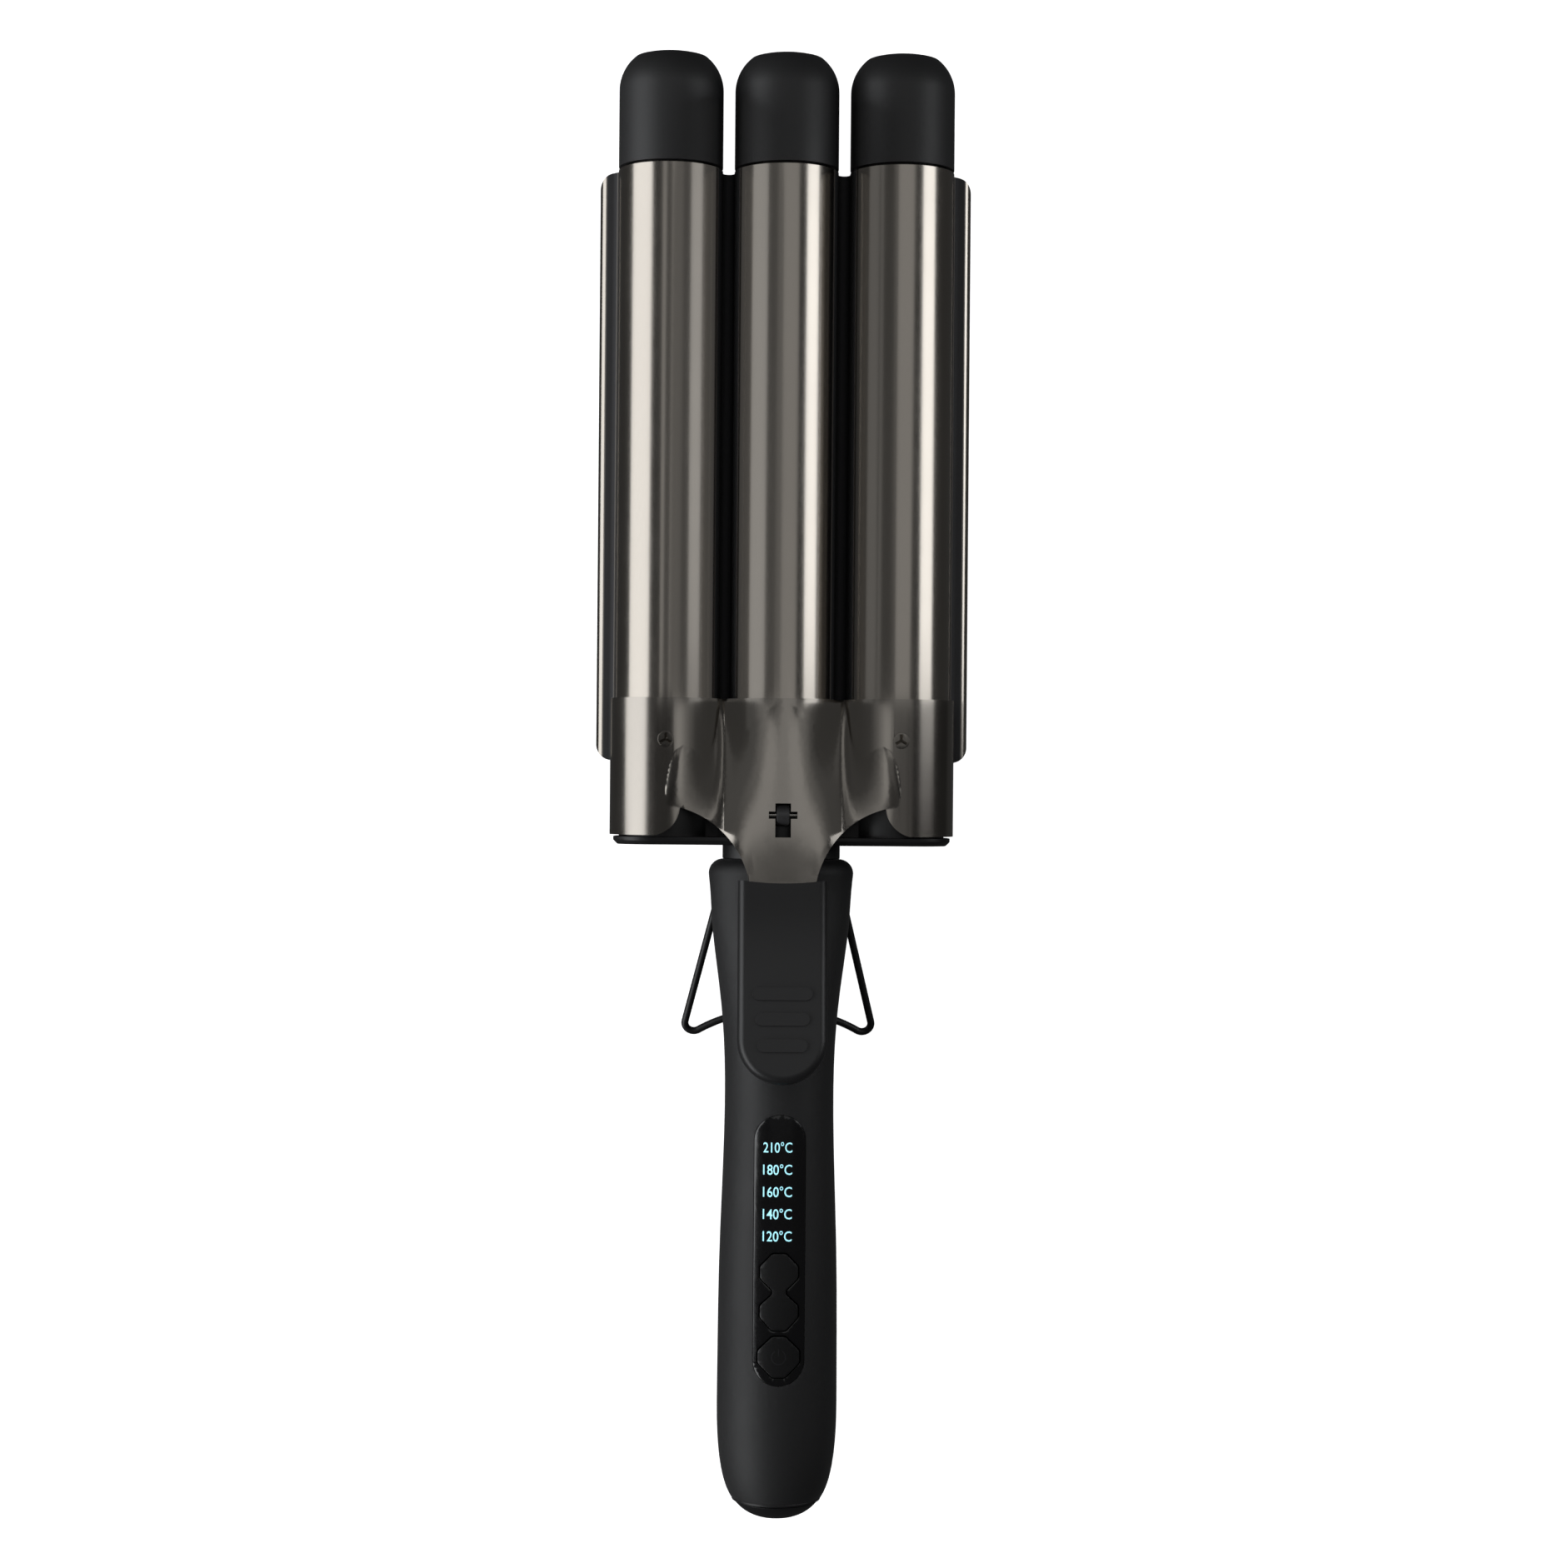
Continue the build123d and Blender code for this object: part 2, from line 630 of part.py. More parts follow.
def make_hinge_knuckle():
    """Black knuckle that stands on the middle collar and holds the pin."""
    foot_height = COLLAR_RADIUS - HOUSING_WALL - FIT
    with BuildPart() as hinge_knuckle:
        with BuildSketch(Plane.YZ.offset(-KNUCKLE_THICKNESS / 2)):
            with Locations((along(HINGE_STATION), MID_Z + HINGE_HEIGHT)):
                Circle(KNUCKLE_RADIUS)
                Rectangle(
                    2 * KNUCKLE_RADIUS,
                    HINGE_HEIGHT - foot_height + 2 * FIT + KNUCKLE_FOOT_HEIGHT,
                    align=(Align.CENTER, Align.MAX),
                )
                Circle(PIN_RADIUS + PIN_FIT, mode=Mode.SUBTRACT)
        extrude(amount=KNUCKLE_THICKNESS)
        with BuildSketch(plan_plane(foot_height - 2 * FIT - KNUCKLE_FOOT_HEIGHT)):
            with Locations((0, along(HINGE_STATION))):
                Rectangle(KNUCKLE_FOOT, KNUCKLE_FOOT + 2 * KNUCKLE_FOOT_HEIGHT)
        extrude(amount=KNUCKLE_FOOT_HEIGHT - 4 * FIT)
    save(hinge_knuckle, "hinge_knuckle")


# ================================================================ root housing
def housing_section(inset):
    """Outline across the housing: three collars on a flat-backed bar."""
    with BuildSketch() as section:
        with Locations(*((x, 0) for x in BARREL_AXES.values())):
            Circle(COLLAR_RADIUS - inset)
        with Locations((0, VALLEY_FILL - inset)):
            Rectangle(
                2 * BARREL_PITCH,
                COLLAR_RADIUS + VALLEY_FILL - 2 * inset,
                align=(Align.CENTER, Align.MAX),
            )
    return section.sketch


def housing_screw_places():
    """Plan positions of the housing's two screws, in the valleys between the collars."""
    y = along(HOUSING_BOTTOM + HOUSING_SCREW_OFFSET)
    return ((-HOUSING_SCREW_X, y), (HOUSING_SCREW_X, y))


def make_root_housing():
    """Two shells that hold the three barrels, split through the barrel axes."""
    outer = housing_section(0)
    inner = housing_section(HOUSING_WALL)
    spigot = BARREL_RADIUS - BARREL_WALL - FIT
    with BuildPart() as housing:
        with BuildSketch(cross_plane(HOUSING_BOTTOM)):
            add(outer)
        extrude(amount=-HOUSING_LENGTH)
        with BuildSketch(cross_plane(HOUSING_BOTTOM)):
            RectangleRounded(
                2 * (BARREL_PITCH + END_FLANGE_RADIUS), 2 * END_FLANGE_DEPTH, END_FLANGE_CORNER
            )
        extrude(amount=-END_FLANGE)
        chamfer(housing.faces().sort_by(Axis.Y)[0].outer_wire().edges(), END_FLANGE_CHAMFER)
        with BuildSketch(cross_plane(HOUSING_TOP)):
            with Locations(*((x, 0) for x in BARREL_AXES.values())):
                Circle(spigot)
        extrude(amount=-SPIGOT_LENGTH)
        with BuildSketch(cross_plane(HOUSING_BOTTOM + HOUSING_WALL)):
            add(inner)
        extrude(amount=-(HOUSING_LENGTH - 2 * HOUSING_WALL), mode=Mode.SUBTRACT)
        with BuildSketch(cross_plane(HOUSING_BOTTOM + HOUSING_WALL)):
            with Locations(*((x, 0) for x in BARREL_AXES.values())):
                Circle(spigot - SPIGOT_WALL)
        extrude(amount=-(HOUSING_LENGTH + SPIGOT_LENGTH), mode=Mode.SUBTRACT)
        with BuildSketch(cross_plane(HOUSING_BOTTOM)):
            Ellipse(NECK_HALF_WIDTH - NECK_STEP + FIT, NECK_HALF_DEPTH - NECK_STEP + FIT)
        extrude(amount=-HOUSING_WALL, mode=Mode.SUBTRACT)
        with BuildSketch(plan_plane(-COLLAR_RADIUS)):
            with Locations(*housing_screw_places()):
                Circle(BOSS_RADIUS)
        extrude(amount=COLLAR_RADIUS + VALLEY_FILL)
        with BuildSketch(plan_plane(-COLLAR_RADIUS)):
            with Locations(*housing_screw_places()):
                Circle(SCREW_HOLE)
        extrude(amount=COLLAR_RADIUS, mode=Mode.SUBTRACT)
        with BuildSketch(plan_plane(-COLLAR_RADIUS)):
            with Locations(*housing_screw_places()):
                Circle(SCREW_HEAD_HOLE)
        extrude(amount=SCREW_HEAD_HEIGHT + FIT, mode=Mode.SUBTRACT)
        with BuildSketch(plan_plane(0)):
            with Locations(*housing_screw_places()):
                Circle(SCREW_RADIUS + FIT)
        extrude(amount=SCREW_BITE + FIT, mode=Mode.SUBTRACT)
        with BuildSketch(plan_plane(0)):
            with Locations((0, along(HINGE_STATION))):
                Rectangle(KNUCKLE_THICKNESS + 2 * FIT, 2 * (KNUCKLE_RADIUS + FIT))
        extrude(amount=BARREL_PITCH, mode=Mode.SUBTRACT)
    with BuildPart() as front:
        add(housing.part)
        split(bisect_by=plan_plane(0), keep=Keep.TOP)
    save(front, "root_housing_front")
    with BuildPart() as back:
        add(housing.part)
        split(bisect_by=plan_plane(0), keep=Keep.BOTTOM)
    save(back, "root_housing_back")


def make_housing_screws():
    """Two screws that draw the housing's shells together from the back."""
    head = COLLAR_RADIUS - FIT
    with BuildPart() as housing_screws:
        with BuildSketch(plan_plane(-head)):
            with Locations(*housing_screw_places()):
                Circle(SCREW_HEAD_RADIUS)
        extrude(amount=SCREW_HEAD_HEIGHT)
        with BuildSketch(plan_plane(-head)):
            with Locations(*housing_screw_places()):
                Circle(SCREW_RADIUS)
        extrude(amount=head + SCREW_BITE)
    save(housing_screws, "housing_screws")


def make_junction_board():
    """Board across the root, where the leads meet the three heating strips."""
    with BuildPart() as junction_board:
        with BuildSketch(cross_plane(HOUSING_BOTTOM + BOARD_OFFSET)):
            Rectangle(2 * (BARREL_PITCH + HEATER_WIDTH / 2), 2 * BOARD_HALF_HEIGHT)
        extrude(amount=-BOARD_THICKNESS)
        with BuildSketch(plan_plane(VALLEY_FILL - HOUSING_WALL - FIT)):
            with Locations((0, along(HOUSING_TOP))):
                Rectangle(2 * BARREL_PITCH, 2 * HOUSING_LENGTH)
        extrude(amount=BOARD_HALF_HEIGHT, mode=Mode.SUBTRACT)
    save(junction_board, "junction_board")


def make_thermal_fuse():
    """Small capsule that lies on the junction board."""
    board_face = HOUSING_BOTTOM + BOARD_OFFSET + BOARD_THICKNESS
    with BuildPart() as thermal_fuse:
        with BuildSketch(Plane.YZ.offset(-FUSE_LENGTH / 2)):
            with Locations((along(board_face + FUSE_RADIUS + FIT), MID_Z - FUSE_HEIGHT)):
                Circle(FUSE_RADIUS)
        extrude(amount=FUSE_LENGTH)
    save(thermal_fuse, "thermal_fuse")


def make_neck():
    """Hollow neck between the housing and the handle, held by a flange inside the handle."""
    with BuildPart() as neck:
        with BuildSketch(cross_plane(HANDLE_TOP)):
            Ellipse(NECK_HALF_WIDTH, NECK_HALF_DEPTH)
        extrude(amount=-NECK_LENGTH)
        with BuildSketch(cross_plane(HANDLE_TOP - NECK_REACH_DOWN)):
            Ellipse(NECK_HALF_WIDTH - NECK_STEP, NECK_HALF_DEPTH - NECK_STEP)
        extrude(amount=-(NECK_REACH_DOWN + NECK_LENGTH + HOUSING_WALL))
        with BuildSketch(cross_plane(HANDLE_TOP - NECK_REACH_DOWN)):
            Ellipse(NECK_HALF_WIDTH - FIT, NECK_HALF_DEPTH - NECK_STEP / 2)
        extrude(amount=-NECK_FLANGE)
        with BuildSketch(cross_plane(HANDLE_TOP - NECK_REACH_DOWN)):
            Ellipse(NECK_HALF_WIDTH - NECK_STEP - NECK_WALL, NECK_HALF_DEPTH - NECK_STEP - NECK_WALL)
        extrude(amount=-(NECK_REACH_DOWN + NECK_LENGTH + HOUSING_WALL), mode=Mode.SUBTRACT)
    save(neck, "neck")


# ================================================================ thumb lever
def rivet_places():
    """Positions of the two rivets in the lever's plane."""
    return ((-RIVET_SPACING / 2, -RIVET_OFFSET), (RIVET_SPACING / 2, -RIVET_OFFSET))


def lever_outline(inset, sag):
    """Outline of the lever in its own plane: straight sides and a round thumb end."""
    half = LEVER_HALF_WIDTH - inset
    end = LEVER_HALF_WIDTH - LEVER_LENGTH
    with BuildSketch() as outline:
        with BuildLine():
            Line((-half, end), (-half, 0))
            ThreePointArc((-half, 0), (0, -sag), (half, 0))
            Line((half, 0), (half, end))
            RadiusArc((half, end), (-half, end), half)
        make_face()
    return outline.sketch


def make_thumb_lever():
    """Thumb plate with side skirts and three low grip ribs."""
    outline = lever_outline(0, LEVER_TOP_SAG)
    pocket = lever_outline(LEVER_SIDE, LEVER_TOP_SAG)
    with BuildPart() as thumb_lever:
        with BuildSketch(lever_plane(-LEVER_SKIRT)):
            add(outline)
        extrude(amount=LEVER_SKIRT + LEVER_THICKNESS)
        with BuildSketch(lever_plane(-LEVER_SKIRT)):
            add(pocket)
            Rectangle(2 * (LEVER_HALF_WIDTH - LEVER_SIDE), 2 * LEVER_SIDE)
        extrude(amount=LEVER_SKIRT, mode=Mode.SUBTRACT)
        top = thumb_lever.faces().sort_by(Axis.Z)[-1]
        fillet(top.edges().sort_by(Axis.Y)[:-1], LEVER_EDGE)
        for offset, length in RIBS:
            with BuildSketch(lever_plane(LEVER_THICKNESS - RIB_HEIGHT)):
                with Locations((0, -offset)):
                    SlotOverall(length, RIB_WIDTH)
            extrude(amount=2 * RIB_HEIGHT)
        with BuildSketch(lever_plane(0)):
            with Locations(*rivet_places()):
                Circle(RIVET_RADIUS + FIT)
        extrude(amount=RIVET_BITE + FIT, mode=Mode.SUBTRACT)
    save(thumb_lever, "thumb_lever")


def make_lever_rivets():
    """Two rivets that hold the yoke's tab to the lever."""
    with BuildPart() as lever_rivets:
        with BuildSketch(lever_plane(-SHEET - RIVET_HEAD_HEIGHT)):
            with Locations(*rivet_places()):
                Circle(RIVET_HEAD)
        extrude(amount=RIVET_HEAD_HEIGHT)
        with BuildSketch(lever_plane(-SHEET)):
            with Locations(*rivet_places()):
                Circle(RIVET_RADIUS)
        extrude(amount=SHEET + RIVET_BITE)
    save(lever_rivets, "lever_rivets")


def make_lever_spring():
    """Coil spring between the cup in the handle and the underside of the lever."""
    reach = SPRING_OFFSET - SPRING_RADIUS - SPRING_WIRE
    top = LEVER_SEAT + reach * tan(radians(LEVER_SLOPE)) - SPRING_TOP_GAP
    start = SPRING_SEAT + SPRING_WIRE + FIT
    height = top - SPRING_WIRE - start
    with BuildPart() as lever_spring:
        with BuildLine() as coil:
            Helix(
                height / SPRING_TURNS,
                height,
                SPRING_RADIUS,
                center=(*spring_place(), MID_Z + start),
            )
        with BuildSketch(Plane(origin=coil.line @ 0, z_dir=coil.line % 0)):
            Circle(SPRING_WIRE)
        sweep(path=coil.line, is_frenet=True)
    save(lever_spring, "lever_spring")


# ================================================================ handle
def grip_form(inset):
    """Closed form of the grip, drawn in by inset all round and cut square at both ends."""
    with BuildPart() as form:
        for fraction, half_width, half_depth in GRIP_FORM:
            with BuildSketch(cross_plane(HANDLE_START + fraction * HANDLE_LENGTH)):
                Ellipse(half_width - inset, half_depth - inset)
        loft()
    return form.part


def button_outline(right, growth):
    """Outline of a button from the corners on its right side, widened by growth."""
    left = [(-x, y) for x, y in right[::-1]]
    with BuildSketch() as outline:
        with BuildLine():
            Polyline(*(right + left), close=True)
        make_face()
        fillet(outline.vertices(), BUTTON_CORNER)
        if growth:
            offset(amount=growth)
    return outline.sketch


def rocker_outline(growth):
    """Two diamonds with cut corners, joined by a narrow waist."""
    lower = [(x, -y) for x, y in ROCKER_CORNERS[-2::-1]]
    return button_outline(list(ROCKER_CORNERS) + lower, growth)


def power_outline(growth):
    """One diamond with cut corners."""
    lower = [(x, -y) for x, y in POWER_CORNERS[::-1]]
    return button_outline(list(POWER_CORNERS) + lower, growth)


def handle_cavity(inner):
    """Hollow of the grip between its two end walls."""
    with BuildPart() as cavity:
        add(inner)
        split(bisect_by=cross_plane(HANDLE_START + END_WALL), keep=Keep.BOTTOM)
        split(bisect_by=cross_plane(HANDLE_TOP - END_WALL), keep=Keep.TOP)
    return cavity.part


def handle_screw_groups():
    """Plan positions of the handle's screws, grouped by the depth of their heads."""
    top = along(HANDLE_TOP - TOP_SCREW_SETBACK)
    middle = (
        (0, along(HANDLE_START + BUTT_SCREW_OFFSET)),
        (0, along(HANDLE_START + PANEL_END + PANEL_SCREW_OFFSET)),
    )
    return (
        (SCREW_DEPTH, middle),
        (TOP_SCREW_DEPTH, ((-TOP_SCREW_X, top), (TOP_SCREW_X, top))),
    )


def handle_screw_places():
    """Plan positions of all the handle's screws."""
    return [place for depth, places in handle_screw_groups() for place in places]


def spring_place():
    """Plan position of the lever's spring."""
    return (0, along(HANDLE_TOP - LEVER_SETBACK - SPRING_OFFSET))


def handle_bosses(cavity):
    """Screw bosses through the hollow and the cup under the lever's spring."""
    with BuildPart() as bosses:
        with BuildSketch(plan_plane(-BARREL_PITCH)):
            with Locations(*handle_screw_places()):
                Circle(BOSS_RADIUS)
        extrude(amount=2 * BARREL_PITCH)
        with BuildSketch(plan_plane(SPRING_SEAT - SPRING_CUP_WALL)):
            with Locations(spring_place()):
                Circle(SPRING_CUP_RADIUS + SPRING_CUP_WALL)
        extrude(amount=BARREL_PITCH)
        add(cavity, mode=Mode.INTERSECT)
    return bosses.part


def board_posts(cavity):
    """Four posts of the back shell that carry the control board."""
    with BuildPart() as posts:
        with BuildSketch(plan_plane(-BARREL_PITCH)):
            for offset_along in PCB_POSTS:
                y = along(HANDLE_START + offset_along)
                with Locations((-PCB_POST_X, y), (PCB_POST_X, y)):
                    Circle(PCB_POST_RADIUS)
        extrude(amount=BARREL_PITCH + BOARD_TOP - PCB_THICKNESS)
        add(cavity, mode=Mode.INTERSECT)
    return posts.part


def screw_cuts():
    """Holes of the handle's screws: thread in the front shell, head recess in the back."""
    with BuildPart() as cuts:
        with BuildSketch(plan_plane(0)):
            with Locations(*handle_screw_places()):
                Circle(SCREW_RADIUS + FIT)
        extrude(amount=SCREW_BITE + FIT)
        with BuildSketch(plan_plane(0)):
            with Locations(*handle_screw_places()):
                Circle(SCREW_HOLE)
        extrude(amount=-BARREL_PITCH)
        for depth, places in handle_screw_groups():
            with BuildSketch(plan_plane(-depth)):
                with Locations(*places):
                    Circle(SCREW_HEAD_HOLE)
            extrude(amount=-BARREL_PITCH)
    return cuts.part


def panel_cuts():
    """Stepped recess of the control panel and the hole over the lever's spring."""
    panel = (0, along(HANDLE_START + (PANEL_START + PANEL_END) / 2))
    ledge = 2 * LENS_LEDGE
    with BuildPart() as cuts:
        with BuildSketch(plan_plane(LENS_SEAT)):
            with Locations(panel):
                SlotOverall(PANEL_LENGTH, PANEL_WIDTH, rotation=90)
        extrude(amount=BARREL_PITCH)
        with BuildSketch(plan_plane(BOARD_TOP)):
            with Locations(panel):
                SlotOverall(PANEL_LENGTH - ledge, PANEL_WIDTH - ledge, rotation=90)
        extrude(amount=BARREL_PITCH)
        with BuildSketch(plan_plane(SPRING_SEAT)):
            with Locations(spring_place()):
                Circle(SPRING_CUP_RADIUS)
        extrude(amount=BARREL_PITCH)
    return cuts.part


def end_cuts():
    """Holes for the neck, the end ring and the stand's two bushings."""
    pivot = along(HANDLE_TOP - STAND_PIVOT_SETBACK)
    with BuildPart() as cuts:
        with BuildSketch(cross_plane(HANDLE_TOP - END_WALL)):
            Ellipse(NECK_HALF_WIDTH - NECK_STEP + FIT, NECK_HALF_DEPTH - NECK_STEP + FIT)
        extrude(amount=-END_WALL)
        with BuildSketch(cross_plane(HANDLE_START)):
            Circle(RING_PLUG_RADIUS + FIT)
        extrude(amount=-END_WALL)
        for side in (-1, 1):
            with BuildSketch(Plane.YZ.offset(side * BUSHING_INNER_X)):
                with Locations((pivot, MID_Z - STAND_DROP)):
                    Circle(BUSHING_RADIUS + FIT)
            extrude(amount=side * BARREL_PITCH)
    return cuts.part


def make_handle(outer, inner):
    """Front and back shells of the grip, split through its widest line."""
    cavity = handle_cavity(inner)
    bosses = handle_bosses(cavity)
    posts = board_posts(cavity)
    cuts = (screw_cuts(), panel_cuts(), end_cuts())
    with BuildPart() as grip:
        add(outer)
        fillet(grip.faces().sort_by(Axis.Y)[-1].edges(), HANDLE_SHOULDER)
        add(cavity, mode=Mode.SUBTRACT)
        add(bosses)
        for cut in cuts:
            add(cut, mode=Mode.SUBTRACT)
    with BuildPart() as front:
        add(grip.part)
        split(bisect_by=plan_plane(0), keep=Keep.TOP)
    with BuildPart() as back:
        add(grip.part)
        split(bisect_by=plan_plane(0), keep=Keep.BOTTOM)
        add(posts)
    save(front, "handle_front")
    save(back, "handle_back")


def make_handle_screws():
    """Four screws that hold the handle's shells together from the back."""
    with BuildPart() as handle_screws:
        for depth, places in handle_screw_groups():
            with BuildSketch(plan_plane(-depth - SCREW_HEAD_HEIGHT)):
                with Locations(*places):
                    Circle(SCREW_HEAD_RADIUS)
            extrude(amount=SCREW_HEAD_HEIGHT)
            with BuildSketch(plan_plane(-depth)):
                with Locations(*places):
                    Circle(SCREW_RADIUS)
            extrude(amount=depth + SCREW_BITE)
    save(handle_screws, "handle_screws")


# ================================================================ control panel
def make_display_lens(outer):
    """Glossy cover, flush with the grip, with openings for the two buttons."""
    rocker_hole = rocker_outline(BUTTON_GAP)
    power_hole = power_outline(BUTTON_GAP)
    with BuildPart() as display_lens:
        with BuildSketch(plan_plane(LENS_SEAT)):
            with Locations((0, along(HANDLE_START + (PANEL_START + PANEL_END) / 2))):
                SlotOverall(PANEL_LENGTH - 2 * LENS_GAP, PANEL_WIDTH - 2 * LENS_GAP, rotation=90)
            with Locations((0, along(HANDLE_START + ROCKER_OFFSET))):
                add(rocker_hole, mode=Mode.SUBTRACT)
            with Locations((0, along(HANDLE_START + POWER_OFFSET))):
                add(power_hole, mode=Mode.SUBTRACT)
        extrude(amount=BARREL_PITCH)
        add(outer, mode=Mode.INTERSECT)
    save(display_lens, "display_lens")


def make_temperature_rocker(proud):
    """Rocker that tips on two trunnions under the lens."""
    outline = rocker_outline(0)
    y = along(HANDLE_START + ROCKER_OFFSET)
    with BuildPart() as temperature_rocker:
        with BuildSketch(plan_plane(BUTTON_BASE)):
            with Locations((0, y)):
                add(outline)
        extrude(amount=BARREL_PITCH)
        add(proud, mode=Mode.INTERSECT)
        with BuildSketch(Plane.YZ.offset(-TRUNNION_HALF)):
            with Locations((y, MID_Z + TRUNNION_HEIGHT)):
                Circle(TRUNNION_RADIUS)
        extrude(amount=2 * TRUNNION_HALF)
    save(temperature_rocker, "temperature_rocker")


def make_rocker_brackets():
    """Two uprights on the circuit board that carry the rocker's trunnions."""
    y = along(HANDLE_START + ROCKER_OFFSET)
    width = TRUNNION_HALF - BRACKET_INNER
    with BuildPart() as rocker_brackets:
        with BuildSketch(plan_plane(BOARD_TOP)):
            for side in (-1, 1):
                with Locations((side * (BRACKET_INNER + width / 2), y)):
                    Rectangle(width, BRACKET_LENGTH)
        extrude(amount=BRACKET_TOP - BOARD_TOP)
        with BuildSketch(Plane.YZ.offset(-TRUNNION_HALF)):
            with Locations((y, MID_Z + TRUNNION_HEIGHT)):
                Circle(TRUNNION_RADIUS + FIT)
        extrude(amount=2 * TRUNNION_HALF, mode=Mode.SUBTRACT)
    save(rocker_brackets, "rocker_brackets")


def make_power_button(proud):
    """Push button over its own switch."""
    outline = power_outline(0)
    with BuildPart() as power_button:
        with BuildSketch(plan_plane(BUTTON_BASE)):
            with Locations((0, along(HANDLE_START + POWER_OFFSET))):
                add(outline)
        extrude(amount=BARREL_PITCH)
        add(proud, mode=Mode.INTERSECT)
    save(power_button, "power_button")


def make_pcb():
    """Control board on four posts of the back shell."""
    with BuildPart() as pcb:
        with BuildSketch(plan_plane(BOARD_TOP - PCB_THICKNESS)):
            with Locations((0, along(HANDLE_START + (PCB_START + PCB_END) / 2))):
                Rectangle(2 * PCB_HALF_WIDTH, PCB_END - PCB_START)
        extrude(amount=PCB_THICKNESS)
    save(pcb, "pcb")


def make_tact_switches():
    """One switch under the power button and one under each end of the rocker."""
    rocker = along(HANDLE_START + ROCKER_OFFSET)
    power = along(HANDLE_START + POWER_OFFSET)
    with BuildPart() as tact_switches:
        with BuildSketch(plan_plane(BOARD_TOP)):
            with Locations((0, power), (0, rocker - ROCKER_REACH), (0, rocker + ROCKER_REACH)):
                Rectangle(TACT_SIZE, TACT_SIZE)
        extrude(amount=TACT_HEIGHT)
    save(tact_switches, "tact_switches")


def make_led_display():
    """Light block that stands on the board under the lens."""
    with BuildPart() as led_display:
        with BuildSketch(plan_plane(BOARD_TOP)):
            with Locations((0, along(HANDLE_START + (DISPLAY_START + DISPLAY_END) / 2))):
                Rectangle(DISPLAY_WIDTH, DISPLAY_END - DISPLAY_START)
        extrude(amount=LENS_SEAT - DISPLAY_TOP_GAP - BOARD_TOP)
    save(led_display, "led_display")


def make_lead_terminals():
    """Terminal block under the board's upper end."""
    with BuildPart() as lead_terminals:
        with BuildSketch(plan_plane(-TERMINAL_DEPTH)):
            with Locations((0, along(HANDLE_START + PCB_END - TERMINAL_LENGTH / 2))):
                Rectangle(2 * TERMINAL_HALF_WIDTH, TERMINAL_LENGTH)
        extrude(amount=TERMINAL_DEPTH + BOARD_TOP - PCB_THICKNESS)
        with BuildSketch(plan_plane(-TERMINAL_DEPTH)):
            y = along(HANDLE_START + PCB_POSTS[1])
            with Locations((-PCB_POST_X, y), (PCB_POST_X, y)):
                Circle(PCB_POST_RADIUS + LENS_GAP)
        extrude(amount=BARREL_PITCH, mode=Mode.SUBTRACT)
    save(lead_terminals, "lead_terminals")


def make_heater_leads():
    """Two insulated leads from the terminal block through the neck to the junction board."""
    start = HANDLE_START + PCB_END
    with BuildPart() as heater_leads:
        with BuildSketch(cross_plane(start)):
            with Locations((-LEAD_X, LEAD_HEIGHT), (LEAD_X, LEAD_HEIGHT)):
                Circle(LEAD_RADIUS)
        extrude(amount=-(HOUSING_BOTTOM + BOARD_OFFSET - start))
    save(heater_leads, "heater_leads")


def make_supply_leads():
    """Two insulated leads from the slip ring board to the control board."""
    start = slip_board_station() + SLIP_BOARD_THICKNESS
    with BuildPart() as supply_leads:
        with BuildSketch(cross_plane(start)):
            with Locations((-LEAD_X, SUPPLY_HEIGHT), (LEAD_X, SUPPLY_HEIGHT)):
                Circle(LEAD_RADIUS)
        extrude(amount=-(HANDLE_START + PCB_START - start))
    save(supply_leads, "supply_leads")


# ================================================================ wire stand
def make_wire_stand():
    """Bent wire stand, folded behind the handle."""
    fold = radians(STAND_FOLD)
    pivot_y = along(HANDLE_TOP - STAND_PIVOT_SETBACK)
    wire = stand_line(
        Plane(
            origin=(0, pivot_y, MID_Z - STAND_DROP),
            x_dir=(-1, 0, 0),
            z_dir=(0, -sin(fold), cos(fold)),
        )
    )
    with BuildPart() as wire_stand:
        with BuildSketch(Plane(origin=wire @ 0, z_dir=wire % 0)):
            Circle(STAND_WIRE)
        sweep(path=wire)
    save(wire_stand, "wire_stand")


def make_stand_bushings():
    """Two bushings in the handle's sides that hold the stand's ends."""
    pivot_y = along(HANDLE_TOP - STAND_PIVOT_SETBACK)
    length = BUSHING_OUTER_X - BUSHING_INNER_X
    with BuildPart() as stand_bushings:
        for start in (-BUSHING_OUTER_X, BUSHING_INNER_X):
            with BuildSketch(Plane.YZ.offset(start)):
                with Locations((pivot_y, MID_Z - STAND_DROP)):
                    Circle(BUSHING_RADIUS)
                    Circle(STAND_WIRE + STAND_FIT, mode=Mode.SUBTRACT)
            extrude(amount=length)
    save(stand_bushings, "stand_bushings")


# ================================================================ cord swivel
def slip_board_station():
    """Station of the slip ring board, just past the end of the swivel's journal."""
    return DOME_HEIGHT + JOURNAL_LENGTH + SLIP_BOARD_GAP


def make_end_ring():
    """Ring in the handle's butt that the swivel turns in."""
    start = DOME_HEIGHT + SWIVEL_GAP
    with BuildPart() as end_ring:
        with BuildSketch(cross_plane(start)):
            Circle(RING_RADIUS)
        extrude(amount=-RING_LIP)
        with BuildSketch(cross_plane(HANDLE_START)):
            Circle(RING_PLUG_RADIUS)
        extrude(amount=-RING_PLUG_LENGTH)
        with BuildSketch(cross_plane(start)):
            Circle(JOURNAL_RADIUS + JOURNAL_FIT)
        extrude(amount=-(RING_LIP + RING_PLUG_LENGTH), mode=Mode.SUBTRACT)
    save(end_ring, "end_ring")


